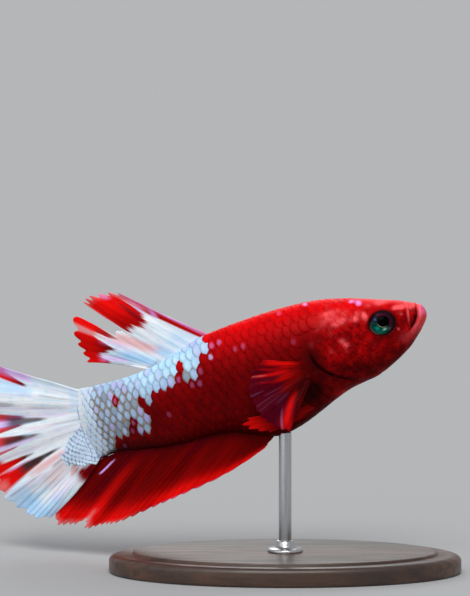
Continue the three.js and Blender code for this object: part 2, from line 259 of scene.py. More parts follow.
def relief(s, h, l):
    """How far the skin stands out, or in where below 0, at each place on it."""
    flank = ease(0.2, 1.2, abs(l))  # fades what belongs to the sides out on the middle plane
    off_mouth, along_mouth = off_line(MOUTH, s, h)
    mouth_ends = ease(1.0, 0.8, along_mouth)
    form = -0.22 * bell(off_mouth, 0.14) * (0.25 + 0.75 * mouth_ends) * ease(0, 0.25, along_mouth)
    form += 0.11 * bell(abs(off_mouth) - 0.36, 0.22) * mouth_ends * ease(0, 0.2, along_mouth)
    off_pocket, _ = off_line(MOUTH_POCKET, s, h)
    form -= 0.16 * bell(off_pocket, 0.26) * flank
    off_maxilla, _ = off_line(MAXILLA, s, h)
    form += 0.09 * bell(off_maxilla + 0.05, 0.18) * flank
    form -= 0.08 * bell(off_maxilla - 0.3, 0.15) * flank

    from_eye = off_eye(s, h)
    form -= 1.1 * ease(1.74, 1.36, from_eye) * flank
    form += 0.1 * bell(from_eye - 1.95, 0.26) * flank
    nostril = np.hypot(s - NOSTRIL[0], h - NOSTRIL[1])
    form += (0.09 * bell(nostril - 0.25, 0.13) - 0.2 * bell(nostril, 0.16)) * flank
    for pore_s, pore_h in PORES:
        pore = np.hypot(s - pore_s, h - pore_h)
        form += (0.03 * bell(pore - 0.2, 0.1) - 0.07 * bell(pore, 0.12)) * flank

    off_cheek, along_cheek = off_line(CHEEK_EDGE, s, h)
    cheek_fade = ease(0, 0.15, along_cheek) * ease(1, 0.85, along_cheek) * flank
    form -= 0.06 * bell(off_cheek - 0.3, 0.4) * cheek_fade
    form += 0.05 * bell(off_cheek + 0.4, 0.5) * cheek_fade

    off_gill, along_gill = off_line(GILL_EDGE, s, h)
    slit = ease(0.24, 0.48, along_gill) * ease(0.9, 0.64, along_gill) * flank
    form += 0.12 * bell(off_gill + 0.35, 0.5) * slit
    form -= 0.22 * bell(off_gill - 0.16, 0.18) * slit
    form -= 0.08 * bell(off_gill - 0.7, 0.7) * slit
    collar, along_collar = off_line(GILL_EDGE, s + 1.0, h - 0.5)
    form -= 0.05 * bell(collar, 0.12) * ease(0.55, 0.7, along_collar) * flank
    form += 0.22 * blob(s, h, 15.7, -1.4, 0.8, 1.2) * flank
    form -= 0.2 * blob(s, h, 17.0, -2.6, 1.0, 1.8) * flank
    throat = ease(0.9, 0.1, abs(l)) * ease(3.0, 5.0, s) * ease(13.0, 10.0, s) * ease(-2, -3.5, h)
    return form - 0.12 * throat


def skin_surface(s, angle):
    """Points, in mm, on the skin, and their outward normals and (s, h, l)."""
    s, angle = np.broadcast_arrays(np.asarray(s, float), np.asarray(angle, float))

    def plain(s, angle):
        widest, rise, side = section(s, angle, -SKIN_DEPTH)
        h = widest + rise
        bow = TAIL_BOW * (1 - (h / 5.2) ** 2) * ease(42, 47, s) - NOSE_REACH * ease(2.5, 0, s)
        return on_fish(s + bow, h, side), s + bow, h, side

    step = 1e-3
    tail = plain(s + step, angle)[0] - plain(s - step, angle)[0]
    turn = plain(s, angle + step)[0] - plain(s, angle - step)[0]
    normal = np.cross(turn, tail)
    length = np.linalg.norm(normal, axis=-1, keepdims=True)
    normal = normal / np.maximum(length, 1e-12)
    point, at_s, h, l = plain(s, angle)
    out = relief(at_s, h, l)[..., None]
    return point + normal * out, normal, (at_s, h, l)


# ---- Markings, shared by the skin and the scales --------------------------------------------

# Over and behind this line the body is pale blue.
PALE_FROM = curve_through([
    (26.6, 9), (27.1, 6.0), (27.7, 4.9), (28.3, 3.4), (29.2, 2.2), (30.2, 2.1), (32, 2.0),
    (33, 1.8), (34.5, 1.9), (35.6, 1.6), (36.5, 0.9), (37.0, 0.1), (37.2, -1.4), (37.4, -2.8),
    (38.2, -3.5), (40, -3.5), (41.5, -3.0), (43, -3.2), (44, -3.7), (45, -4.1), (47.5, -4.4),
])
# Red left open inside the pale part: s, h, half length, half height.
RED_GAPS = [
    (31.2, 3.1, 0.75, 0.95), (29.4, 4.6, 0.45, 0.5), (37.45, 1.2, 0.45, 0.6),
    (41.0, 2.2, 0.65, 0.6), (40.1, -2.2, 0.9, 1.0), (39.2, -3.2, 0.9, 0.5),
]
# Single scales with a faint pale middle, out in the red: s, h, strength.
STRAY_PALE = [
    (30.5, 0.8, 0.28), (34.7, -1.6, 0.2), (27.0, 4.0, 0.8), (27.7, 5.2, 0.75), (26.7, 5.0, 0.5),
    (24.9, 5.15, 0.5), (22.8, 4.3, 0.25), (23.9, 3.8, 0.2), (16.9, 6.0, 0.25), (16.5, 2.5, 0.1),
    (42.9, -4.4, 0.4), (31.4, 2.3, 0.35), (30.6, 2.3, 0.5), (28.9, 1.7, 0.3), (28.3, 2.9, 0.25),
    (38.7, -1.3, 0.6), (38.9, -2.5, 0.5), (40.1, -3.0, 0.3), (39.7, -1.2, 0.4),
    (41.0, 2.0, 0.4),
]
# Paler, pinker patches on the head, pink scales behind the eye and painted highlights on the
# snout and the brow: s, h, half length, half height, strength.
PINK_AND_HIGHLIGHT_SPOTS = [
    (11.9, 4.15, 0.9, 0.36, 0.6), (12.2, 3.45, 0.6, 0.26, 0.5), (11.2, 3.5, 0.4, 0.34, 0.35),
    (12.9, 3.1, 0.42, 0.48, 0.3), (11.6, 2.6, 0.6, 0.36, 0.4), (10.7, 2.8, 0.62, 0.38, 0.75),
    (9.05, 2.55, 0.55, 0.42, 0.85), (7.8, 2.4, 0.34, 0.52, 1.0), (9.75, 3.65, 0.52, 0.3, 0.5),
    (10.6, 4.1, 0.4, 0.3, 0.45), (8.4, 3.1, 0.4, 0.3, 0.35), (11.5, 5.1, 0.45, 0.35, 0.25),
    (12.4, 1.7, 0.25, 0.5, 0.25), (11.4, 0.45, 0.38, 0.36, 0.5), (11.05, -0.2, 0.34, 0.42, 0.6),
    (11.25, -0.95, 0.25, 0.3, 0.3), (13.0, -0.35, 0.45, 0.35, 0.2), (13.7, 2.9, 0.35, 0.5, 0.2),
    (15.0, 1.2, 0.5, 0.5, 0.2), (2.8, 1.98, 0.5, 0.26, 1.3), (3.6, 2.15, 0.55, 0.26, 1.1),
    (1.8, 1.6, 0.22, 0.34, 0.8), (1.4, 1.6, 0.16, 0.34, 0.7), (5.2, 3.4, 0.8, 0.4, 0.9),
    (3.3, 1.25, 0.2, 0.2, 0.8), (4.25, -0.42, 0.2, 0.2, 0.6), (6.9, 3.55, 0.5, 0.3, 0.5),
]
# Painted highlights, almost magenta, on the nape: s, h, half length, half height.
SHINE_SPOTS = [(7.8, 4.15, 0.45, 0.4), (14.0, 6.1, 0.35, 0.25), (8.6, 4.6, 0.4, 0.2)]


def pale_marks(s, h):
    """How far from a scale's middle it is pale, where 1 is an oval that nearly fills what
    shows of it, and how solid the pale part is here, with no darker margins."""
    over = h - PALE_FROM(s)
    inside = ease(-0.1, 0.15, over) * ease(25.5, 27, s)
    for gap in RED_GAPS:
        inside *= ease(0.85, 1.15, oval(s, h, *gap))
    ahead = ease(38.2, 36.4, s) * ease(0.6, 1.8, over)
    top = ease(2.7, 4.4, h)
    tail_root = ease(44.8, 46.2, s) * ease(0.2, 1.0, over)
    solid = np.clip(ahead + 0.7 * top + tail_root, 0, 1)
    edge_row = ease(38, 36.5, s) * (1 - ahead)
    return inside * (0.86 + 0.22 * edge_row + 0.95 * solid), solid * inside


def shine(s, h):
    """How much of a painted magenta highlight lies on the nape and at the front of the mouth."""
    total = np.zeros(np.broadcast(s, h).shape)
    for spot in SHINE_SPOTS:
        total += blob(s, h, *spot)
    off_mouth, _ = off_line(MOUTH, s, h)
    total += 0.42 * ease(0.0, -0.2, off_mouth) * ease(2.2, 1.4, s) * ease(-0.6, 0.6, h)
    return np.clip(total, 0, 1)


def flush(s, h):
    """How pink the skin is: the snout, the brow and the patches behind the eye. The brow and the
    streaks over the snout are painted highlight; the patches behind the eye are the skin's own
    pink.
    """
    total = np.zeros(np.broadcast(s, h).shape)
    for *spot, strength in PINK_AND_HIGHLIGHT_SPOTS:
        total += strength * blob(s, h, *spot)
    # Painted highlight along the top of the head, where the light from above falls.
    brow = ease(1.0, 0.0, BACK(s) - h) * ease(19, 4, s)
    off_mouth, _ = off_line(MOUTH, s, h)
    lips = ease(0.12, -0.12, off_mouth) * ease(3.6, 1.8, s) * ease(-2.4, -1.0, h)
    lips *= 0.75 + 0.4 * bell(off_mouth + 0.35, 0.3) * ease(-0.6, 0.8, h)
    off_maxilla, _ = off_line(MAXILLA, s, h)
    band = 0.6 * bell(off_maxilla, 0.16) * ease(-0.9, 0.9, h)
    nape = 0.1 * blob(s, h, 11.2, 3.6, 2.2, 1.2)
    jaw = 0.3 * blob(s, h, 3.4, -1.8, 1.3, 0.9)
    return np.clip(total + 0.75 * brow + 0.65 * lips + band + (nape + jaw), 0, 1)


def shade(s, h):
    """How much painted shade lies on the skin: in the creases, on the lower head and cheek, the
    flank and the belly, and a painted shadow behind the pectoral fin."""
    share = (h - BELLY(s)) / (BACK(s) - BELLY(s))
    on_head = ease(15.5, 12.5, s)
    # Painted shade under the light from above: the lower head, the flank and the belly, lighter
    # at the throat.
    under = 0.5 * ease(0.36, 0.12, share) * on_head * ease(2.2, 5, s)
    flank = 0.44 * ease(0.85, 0.4, share) + 0.22 * ease(0.3, 0.0, share)
    under += flank * (1 - on_head) * (1 - 0.35 * bell(s - 32.5, 5))
    under += 0.4 * blob(s, h, 11.9, -2.7, 2.4, 1.2)
    under += 0.75 * blob(s, h, 16.4, -4.3, 1.7, 1.5)
    under += 0.4 * blob(s, h, 15.2, -0.3, 1.2, 1.8)
    under *= 1 - 0.75 * blob(s, h, 13.2, -5.6, 2.6, 1.2)
    under += 0.3 * bell(h - BELLY(s) - 0.2, 0.8) * ease(22, 27, s)
    # Painted shade in the creases: the mouth, the gill slit, round the eye and in the nostril.
    off_mouth, along_mouth = off_line(MOUTH, s, h)
    crease_shade = 0.5 * bell(off_mouth - 0.05, 0.12) * ease(0.25, 0.7, along_mouth)
    off_pocket, _ = off_line(MOUTH_POCKET, s, h)
    crease_shade += 0.8 * bell(off_pocket, 0.27)
    off_gill, along_gill = off_line(GILL_EDGE, s, h)
    slit = ease(0.36, 0.52, along_gill) * ease(0.84, 0.6, along_gill)
    crease_shade += (0.75 * bell(off_gill - 0.15, 0.15) + 0.1 * bell(off_gill - 0.6, 0.5)) * slit
    from_eye = off_eye(s, h)
    crease_shade += 0.75 * bell(from_eye - 1.74, 0.2)
    crease_shade += 0.2 * bell(from_eye - 2.1, 0.4) * ease(1.2, -0.2, h)
    nostril = np.hypot(s - NOSTRIL[0], h - NOSTRIL[1])
    crease_shade += 0.6 * bell(nostril, 0.1)
    pale, _ = pale_marks(s, h)
    return np.clip(under + crease_shade, 0, 1) * (1 - 0.7 * np.clip(pale, 0, 1))


# ---- Meshes ---------------------------------------------------------------------------------


def new_object(name, points_mm, faces):
    """An object whose smooth mesh has these points, given in mm, and faces."""
    mesh = bpy.data.meshes.new(name)
    mesh.from_pydata((np.asarray(points_mm) * MM).tolist(), [], faces, shade_flat=False)
    mesh.update()
    return add_object(name, mesh)


def grid_faces(rows, columns, wrap=False):
    """Quads over a grid of points laid row by row. wrap joins the last column to the first."""
    quads = []
    for row in range(rows - 1):
        for column in range(columns if wrap else columns - 1):
            beside = (column + 1) % columns
            first = row * columns
            quads.append((first + column, first + beside, first + columns + beside,
                          first + columns + column))
    return quads


def store(thing, name, values):
    """Keeps one number, or one vector, for each point of the mesh."""
    values = np.asarray(values, np.float32)
    kind = "FLOAT" if values.ndim == 1 else "FLOAT_VECTOR"
    layer = thing.data.attributes.new(name, kind, "POINT")
    layer.data.foreach_set("value" if values.ndim == 1 else "vector", values.ravel())


def face_outwards(thing):
    """Turns every face of a closed mesh to look out."""
    shell = bmesh.new()
    shell.from_mesh(thing.data)
    bmesh.ops.recalc_face_normals(shell, faces=shell.faces)
    shell.to_mesh(thing.data)
    shell.free()


def closed_tube(name, rings, poles):
    """A closed mesh over rings of points, [ring, point, axis] in mm, with a pole at each end."""
    count, sides = rings.shape[:2]
    faces = grid_faces(count, sides, wrap=True)
    first_pole, last_ring = count * sides, (count - 1) * sides
    for k in range(sides):
        beside = (k + 1) % sides
        faces.append((first_pole, beside, k))
        faces.append((first_pole + 1, last_ring + k, last_ring + beside))
    thing = new_object(name, np.vstack([rings.reshape(-1, 3), poles]), faces)
    face_outwards(thing)
    return thing


# ---- Node trees -----------------------------------------------------------------------------


def add(tree, kind, inputs=None, **settings):
    """Adds a node. inputs gives, by socket name or number, a value or another node's output."""
    node = tree.nodes.new(kind)
    for key, value in settings.items():
        setattr(node, key, value)
    for key, value in (inputs or {}).items():
        socket = node.inputs[key]
        if isinstance(value, bpy.types.NodeSocket):
            tree.links.new(value, socket)
        else:
            socket.default_value = value
    return node


def rgb(red, green, blue):
    """A colour as it shows on a screen, 0 to 255 each, turned into the light it stands for."""
    shares = [value / 255 for value in (red, green, blue)]
    return tuple(
        share / 12.92 if share <= 0.04045 else ((share + 0.055) / 1.055) ** 2.4
        for share in shares
    ) + (1.0,)


def new_tree(name, inputs):
    """A Geometry Nodes tree with these named inputs, and the sockets that give them."""
    tree = bpy.data.node_groups.new(name, "GeometryNodeTree")
    face = tree.interface
    face.new_socket("Geometry", in_out="INPUT", socket_type="NodeSocketGeometry")
    for label, kind in inputs:
        face.new_socket(label, in_out="INPUT", socket_type=f"NodeSocket{kind}")
    face.new_socket("Geometry", in_out="OUTPUT", socket_type="NodeSocketGeometry")
    return tree, tree.nodes.new("NodeGroupInput").outputs


def end_tree(tree, geometry, material):
    """Ends a tree: smooth, with every copy made real, and in its material."""
    smooth = add(tree, "GeometryNodeSetShadeSmooth", {"Geometry": geometry}).outputs[0]
    real = add(tree, "GeometryNodeRealizeInstances", {0: smooth}).outputs[0]
    done = add(tree, "GeometryNodeSetMaterial",
               {"Geometry": real, "Material": material}).outputs[0]
    tree.links.new(done, tree.nodes.new("NodeGroupOutput").inputs[0])
    return tree


class Finish:
    """A material that is built up node by node on one Principled shader."""

    def __init__(self, name, **constants):
        self.material = bpy.data.materials.new(name)
        self.material.use_nodes = True
        self.tree = self.material.node_tree
        self.shader = self.tree.nodes["Principled BSDF"]
        for socket, value in constants.items():
            self.shader.inputs[socket.replace("_", " ")].default_value = value
        self.place = add(self.tree, "ShaderNodeTexCoord").outputs["Object"]

    def attribute(self, name, output="Fac"):
        return add(self.tree, "ShaderNodeAttribute", attribute_name=name).outputs[output]

    def noise(self, size_mm, detail, stretch=None, seed=0.0, rough=0.55):
        """Noise from 0 to 1 with features about this size."""
        place = self.place
        if stretch:
            place = add(self.tree, "ShaderNodeMapping",
                        {"Vector": place, "Scale": stretch}).outputs[0]
        return add(self.tree, "ShaderNodeTexNoise", {
            "Vector": place, "Scale": 1 / (size_mm * MM), "Detail": detail, "W": seed,
            "Roughness": rough,
        }, noise_dimensions="4D").outputs["Fac"]

    def fibres(self, stretch, detail):
        """Noise drawn out along a fin's rays, by where a point lies in the fin."""
        lie = self.attribute("lie", "Vector")
        place = add(self.tree, "ShaderNodeMapping", {"Vector": lie, "Scale": stretch}).outputs[0]
        return add(self.tree, "ShaderNodeTexNoise", {
            "Vector": place, "Scale": 1.0, "Detail": detail,
        }).outputs["Fac"]

    def math(self, operation, first, second=0.0, third=0.0):
        return add(self.tree, "ShaderNodeMath", {0: first, 1: second, 2: third},
                   operation=operation).outputs[0]

    def span(self, value, low, high, to_low=0.0, to_high=1.0):
        """The value's stretch from low to high, eased, as to_low to to_high."""
        return add(self.tree, "ShaderNodeMapRange", {
            "Value": value, "From Min": low, "From Max": high, "To Min": to_low,
            "To Max": to_high,
        }, interpolation_type="SMOOTHSTEP").outputs[0]

    def mix(self, share, first, second, blend="MIX"):
        return add(self.tree, "ShaderNodeMix", {0: share, 6: first, 7: second},
                   data_type="RGBA", blend_type=blend).outputs[2]

    def lay_over(self, colour, **marks):
        """Lays a colour for each mark over the first one, as much of it as the mark says."""
        for name, over in marks.items():
            colour = self.mix(self.attribute(name), colour, over)
        return colour

    def bump(self, height, distance_mm, strength):
        node = add(self.tree, "ShaderNodeBump", {
            "Height": height, "Distance": distance_mm * MM, "Strength": strength,
        })
        self.tree.links.new(node.outputs[0], self.shader.inputs["Normal"])

    def set(self, socket, value):
        self.tree.links.new(value, self.shader.inputs[socket])


# ---- Finishes -------------------------------------------------------------------------------

# The lighter red of the back is painted top light. The dark red is painted shade as well as the
# skin's dark mottle.
DEEP_RED = rgb(114, 0, 3)
TOP_LIT_RED = rgb(252, 8, 14)
DARK_RED = rgb(34, 0, 1)
# This pink serves for the skin's pink patches and for painted highlights.
PATCH_AND_HIGHLIGHT_PINK = rgb(255, 92, 98)
SHINE_PINK = rgb(255, 150, 226)
ICE_BLUE = rgb(184, 230, 255)
FIN_WHITE = rgb(246, 250, 255)
LILAC = rgb(190, 160, 226)
OLIVE_RIM = rgb(148, 142, 136)
BRIGHT_RED = rgb(236, 8, 12)
SALMON = rgb(232, 176, 178)
TEAL = rgb(150, 208, 214)


def red_ground(look, patches):
    """The red that the skin and the scales share: lighter on the back, which is painted top
    light, mottled, and pink on the brow, the lips and behind the eye, the more so where patches
    is high. The pink is partly the skin's own and partly painted highlight, and painted magenta
    highlights lie over it all."""
    broad = look.noise(2.2, 2, seed=3.0)
    fine = look.noise(0.3, 3, seed=7.0)
    # The height mark paints top light: lighter towards the back, and on the nape and the throat.
    top_light = look.math("MULTIPLY_ADD", look.attribute("height"), 2.0, -1.0)
    top_light = look.math("POWER", look.math("MAXIMUM", top_light, 0.0), 2.6)
    red = look.mix(top_light, DEEP_RED, TOP_LIT_RED)
    bright = look.math("MULTIPLY_ADD", look.attribute("head"), 0.3, 0.12)
    blotches = look.noise(0.85, 3, seed=11.0)
    bright = look.math("MULTIPLY", look.span(blotches, 0.42, 0.7), bright)
    red = look.mix(bright, red, BRIGHT_RED)
    red = look.mix(look.span(broad, 0.45, 0.75, 0, 0.35), red, DEEP_RED)
    red = look.mix(look.span(fine, 0.5, 0.72, 0, 0.3), red, DARK_RED)
    # Pink patches of the skin's own, and painted highlights.
    patchy = look.math("MULTIPLY", look.attribute("flush"), patches)
    red = look.mix(look.span(patchy, 0.0, 1.0), red, PATCH_AND_HIGHLIGHT_PINK)
    # Painted magenta highlights over it all.
    return look.mix(look.span(look.attribute("shine"), 0.2, 0.9), red, SHINE_PINK)


def streaked_white(look, fibres, cloud):
    """The white of the fins, streaked with blue and lilac along their rays."""
    white = look.mix(look.span(fibres, 0.4, 0.7, 0, 0.4), FIN_WHITE, rgb(196, 210, 234))
    white = look.mix(look.span(cloud, 0.45, 0.7, 0, 0.2), white, TEAL)
    streaks = look.fibres((30, 2.2, 1), 2.0)
    white = look.mix(look.span(streaks, 0.5, 0.72, 0, 0.6), white, rgb(160, 218, 250))
    return look.mix(look.span(streaks, 0.5, 0.3, 0, 0.45), white, rgb(222, 210, 255))


def skin_finish():
    """Red skin, pale over the tail stalk and streaked like the tail fin where it meets it."""
    look = Finish("betta_skin", Roughness=0.4, Coat_Weight=0.015, Coat_Roughness=0.2,
                  Specular_IOR_Level=0.02, Subsurface_Weight=0.1, Subsurface_Scale=0.0006)
    look.shader.inputs["Subsurface Radius"].default_value = (1.0, 0.25, 0.15)
    mottle = look.noise(0.45, 4)
    colour = red_ground(look, look.span(mottle, 0.3, 0.7, 0.85, 1.15))
    white = streaked_white(look, look.fibres((90, 5, 1), 3.0), look.noise(1.1, 3))
    pale = look.lay_over(ICE_BLUE, bleach=white)
    # The shade mark lays painted shade in dark red over everything.
    look.set("Base Color", look.lay_over(colour, pale=pale, shade=DARK_RED))
    look.set("Roughness", look.span(mottle, 0.2, 0.8, 0.32, 0.5))
    fine = look.noise(0.22, 3, seed=1.0)
    look.bump(look.math("ADD", fine, look.math("MULTIPLY", mottle, 1.6)), 0.05, 0.7)
    return look.material


def scale_finish():
    """Each scale reads its own marks: how much of it is pale, its tone and where it lies."""
    look = Finish("betta_scales", Roughness=0.4, Coat_Weight=0.015, Coat_Roughness=0.22,
                  Specular_IOR_Level=0.02)
    lay = look.attribute("lay", "Vector")
    parts = add(look.tree, "ShaderNodeSeparateXYZ", {0: lay})
    along, across = parts.outputs[0], parts.outputs[1]
    mottle = look.noise(0.45, 4)
    back = look.math("DIVIDE", look.math("SUBTRACT", along, SHOWN_MIDDLE), 0.235)
    wide = look.math("DIVIDE", across, 0.58)
    reach = look.math("SQRT", look.math("ADD", look.math("MULTIPLY", back, back),
                                        look.math("MULTIPLY", wide, wide)))
    reach = look.math("ADD", reach, look.span(mottle, 0.3, 0.7, -0.14, 0.14))
    tone = look.attribute("tone")
    red = red_ground(look, look.span(tone, 0, 1, 0.65, 1.35))
    red = look.mix(look.span(tone, 0, 1, 0, 0.06), red, BRIGHT_RED)
    rim = look.span(reach, 0.7, 1.3)
    red = look.mix(look.math("MULTIPLY", rim, 0.1), red, DARK_RED)
    cell = look.lay_over(rgb(158, 190, 230), solid=ICE_BLUE)
    pale = look.mix(look.span(mottle, 0.35, 0.7, 0, 0.35), cell, FIN_WHITE)
    pale = look.mix(look.span(tone, 0.55, 1.0, 0, 0.55), pale, LILAC)
    open_net = look.math("SUBTRACT", 1.0, look.attribute("solid"))
    dull = look.math("MULTIPLY", look.span(tone, 0.4, 0.08, 0, 0.6), open_net)
    pale = look.mix(dull, pale, rgb(118, 126, 132))
    pale = look.mix(look.math("MULTIPLY", look.span(reach, 0.3, 1.2), 0.3), pale,
                    rgb(128, 178, 222))
    white = look.math("MULTIPLY", look.attribute("whiteness"), 0.75)
    pale = look.mix(white, pale, rgb(222, 238, 255))
    margin = look.lay_over(OLIVE_RIM, solid=rgb(140, 168, 206))
    share = look.attribute("pale")
    veil = look.attribute("veil")
    covered = look.span(look.math("SUBTRACT", share, reach), -0.26, 0.24)
    covered = look.math("MULTIPLY", covered, veil)
    pale = look.mix(look.span(veil, 0.9, 0.5), pale, rgb(206, 122, 186))
    near = look.math("MULTIPLY", look.span(share, 0.5, 0.75), look.span(veil, 0.8, 0.95))
    ground = look.mix(near, red, margin)
    colour = look.mix(covered, ground, pale)
    # The shade mark lays painted shade in dark red over everything.
    look.set("Base Color", look.lay_over(colour, shade=DARK_RED))
    rings = add(look.tree, "ShaderNodeTexWave", {
        "Vector": lay, "Scale": 3.2, "Distortion": 1.2, "Detail": 1.0,
    }, wave_type="RINGS", rings_direction="Z").outputs["Fac"]
    look.set("Roughness", look.span(mottle, 0.2, 0.8, 0.32, 0.5))
    look.bump(rings, 0.012, 0.4)
    return look.material


def fin_finish(name, ray=False):
    """Fin web, or the rays in it: the fin's own marks say where it is red, pale or dark."""
    look = Finish(name, Roughness=0.5, Coat_Weight=0.005, Coat_Roughness=0.25,
                  Specular_IOR_Level=0.02, Subsurface_Weight=0.25, Subsurface_Scale=0.0005)
    look.shader.inputs["Subsurface Radius"].default_value = (1.0, 0.5, 0.45)
    fibres = look.fibres((90, 5, 1), 3.0)
    cloud = look.noise(1.1, 3)
    red = look.lay_over(rgb(46, 0, 1), glow=rgb(252, 14, 10))
    red = look.mix(look.span(fibres, 0.4, 0.7, 0, 0.3), red, rgb(130, 0, 4))
    white = look.lay_over(streaked_white(look, fibres, cloud), blue=rgb(136, 204, 255))
    # dark lays painted shade over the fin's colours.
    colour = look.lay_over(red, pale=white, lilac=rgb(224, 170, 252), salmon=SALMON,
                           dark=rgb(54, 44, 44), wine=rgb(72, 0, 22))
    if ray:
        colour = look.mix(0.1, colour, FIN_WHITE, blend="SOFT_LIGHT")
    look.set("Base Color", colour)
    look.set("Roughness", look.span(cloud, 0.2, 0.8, 0.42, 0.6))
    look.bump(fibres, 0.03, 0.6)
    return look.material


def eye_finish():
    """A dark iris with threads, patches of colour and a painted glint, round a black pupil; one
    mauve patch is a painted reflection.
    """
    look = Finish("betta_eye", Roughness=0.2, Coat_Weight=0.035, Coat_Roughness=0.04,
                  Specular_IOR_Level=0.01)
    ring = look.attribute("ring")
    turn = look.attribute("turn")
    lower = look.attribute("lower")
    threads = add(look.tree, "ShaderNodeTexNoise", {
        "Vector": add(look.tree, "ShaderNodeCombineXYZ", {
            0: look.math("MULTIPLY", turn, 5.0), 1: look.math("MULTIPLY", ring, 1.4),
        }).outputs[0],
        "Scale": 2.0, "Detail": 3.0,
    }).outputs["Fac"]
    iris = look.mix(look.span(lower, 0.45, 0.9), rgb(30, 6, 20), rgb(0, 84, 64))
    # The mauve is partly the iris's own, and partly a painted reflection near its top.
    iris = look.lay_over(iris, wine=rgb(84, 2, 38), mauve=rgb(104, 78, 104),
                         blue=rgb(58, 92, 132))
    iris = look.mix(look.span(threads, 0.4, 0.62, 0, 0.85), iris, rgb(4, 18, 24))
    # The glint is a painted highlight.
    iris = look.lay_over(iris, teal=rgb(16, 146, 132), glint=rgb(160, 236, 208))
    iris = look.mix(look.span(ring, 0.72, 0.86, 0, 0.8), iris, rgb(16, 12, 16))
    pupil = look.attribute("pupil")
    below = look.span(lower, 0.6, 0.95, 0, 0.7)
    halo = look.math("MULTIPLY", look.span(pupil, 0.455, 0.425), below)
    iris = look.mix(halo, iris, rgb(196, 176, 150))
    colour = look.mix(look.span(pupil, 0.425, 0.4), iris, rgb(0, 0, 0))
    look.set("Base Color", look.lay_over(colour, rim=rgb(170, 128, 116)))
    look.set("Roughness", look.span(threads, 0.3, 0.7, 0.12, 0.3))
    look.bump(threads, 0.012, 0.5)
    return look.material


def wood_finish():
    """Dark wood with its grain along X."""
    look = Finish("dark_wood", Roughness=0.42, Coat_Weight=0.25, Coat_Roughness=0.25)
    grain = look.noise(1.1, 6, stretch=(0.12, 1.4, 1.2), rough=0.6)
    bands = look.noise(4.5, 2, stretch=(0.08, 1.0, 1.0), seed=2.0)
    pores = look.noise(0.28, 2, stretch=(0.06, 1.0, 1.0), seed=5.0)
    wood = look.mix(look.span(bands, 0.35, 0.65), rgb(52, 33, 24), rgb(82, 54, 38))
    wood = look.mix(look.span(grain, 0.4, 0.7, 0, 0.75), wood, rgb(34, 21, 16))
    wood = look.mix(look.span(pores, 0.62, 0.75, 0, 0.6), wood, rgb(20, 12, 9))
    look.set("Base Color", wood)
    look.set("Roughness", look.span(grain, 0.3, 0.7, 0.34, 0.52))
    look.bump(look.math("ADD", grain, pores), 0.04, 0.5)
    return look.material


def steel_finish():
    """Steel with faint lines, drawn out along Z."""
    look = Finish("satin_steel", Metallic=1.0, Roughness=0.28)
    drawn = look.noise(0.2, 3, stretch=(1, 1, 0.03))
    look.set("Base Color", look.mix(drawn, rgb(172, 174, 178), rgb(205, 206, 208)))
    look.set("Roughness", look.span(drawn, 0.3, 0.7, 0.2, 0.38))
    look.bump(drawn, 0.01, 0.4)
    return look.material


# ---- Skin -----------------------------------------------------------------------------------

HEAD_END = 15.6
HEAD_RING_STEP = 0.072  # between the rings of points on the head
BODY_RING_STEP = 0.26  # and behind it
SKIN_SIDES = 264  # points in a ring


def make_skin():
    """One closed skin from the lips to the root of the tail fin, finest on the head."""
    first = SKIN_DEPTH + 0.004  # just behind where the skin closes to a point
    nose = first + NOSE_RADIUS * (1 - np.cos(np.linspace(0, 1, 14)[1:] * 0.5)) * 0.75
    head = np.arange(nose[-1] + HEAD_RING_STEP, HEAD_END, HEAD_RING_STEP)
    rear = np.arange(HEAD_END, SKIN_END, BODY_RING_STEP)
    along = np.concatenate([nose, head, rear])
    turn = np.arange(SKIN_SIDES) / SKIN_SIDES * TAU
    angle = turn + 0.16 * np.sin(2 * turn)  # more points on the sides than over the back
    s, angle = np.meshgrid(along, angle, indexing="ij")
    points, _, (at_s, h, _) = skin_surface(s, angle)
    skin = closed_tube("betta_skin", points, [points[0].mean(0), points[-1].mean(0)])

    def keep(name, values):
        store(skin, name, np.append(values.ravel(), [values[0].mean(), values[-1].mean()]))

    pale, solid = pale_marks(at_s, h)
    keep("pale", np.clip(pale, 0, 1) * (0.45 + 0.55 * solid))
    keep("bleach", ease(44.6, 45.8, at_s))
    keep("head", ease(15.5, 12.5, at_s))
    keep("flush", flush(at_s, h))
    keep("shine", shine(at_s, h))
    # Painted shade in creases, under the light from above and behind the pectoral fin.
    keep("shade", shade(at_s, h))
    # The share up the body, lifted on the nape and the throat, paints light from above.
    top_light = (h - BELLY(at_s)) / (BACK(at_s) - BELLY(at_s))
    nape = blob(at_s, h, 10.5, 3.4, 3.6, 1.7)
    throat = blob(at_s, h, 13, -5.6, 2.6, 1.0)
    keep("height", top_light + 0.1 * nape + 0.7 * throat)
    in_fin = np.stack([(CAUDAL_TOP - h) / CAUDAL_HEIGHT, (at_s - CAUDAL_ROOT) / 17.5, 0 * h],
                      axis=-1)
    ends = [in_fin[0].mean(axis=0), in_fin[-1].mean(axis=0)]
    store(skin, "lie", np.vstack([in_fin.reshape(-1, 3), ends]))
    skin.data.materials.append(skin_finish())
    return skin


# ---- Scales ---------------------------------------------------------------------------------

BODY_SCALE = {"length": 2.1, "width": 2.25, "lift": 0.06, "sink": 0.04}
HEAD_SCALE = {"length": 1.5, "width": 1.65, "lift": 0.06, "sink": 0.04}
TAIL_SCALE = {"length": 0.9, "width": 0.95, "lift": 0.05, "sink": -0.01}
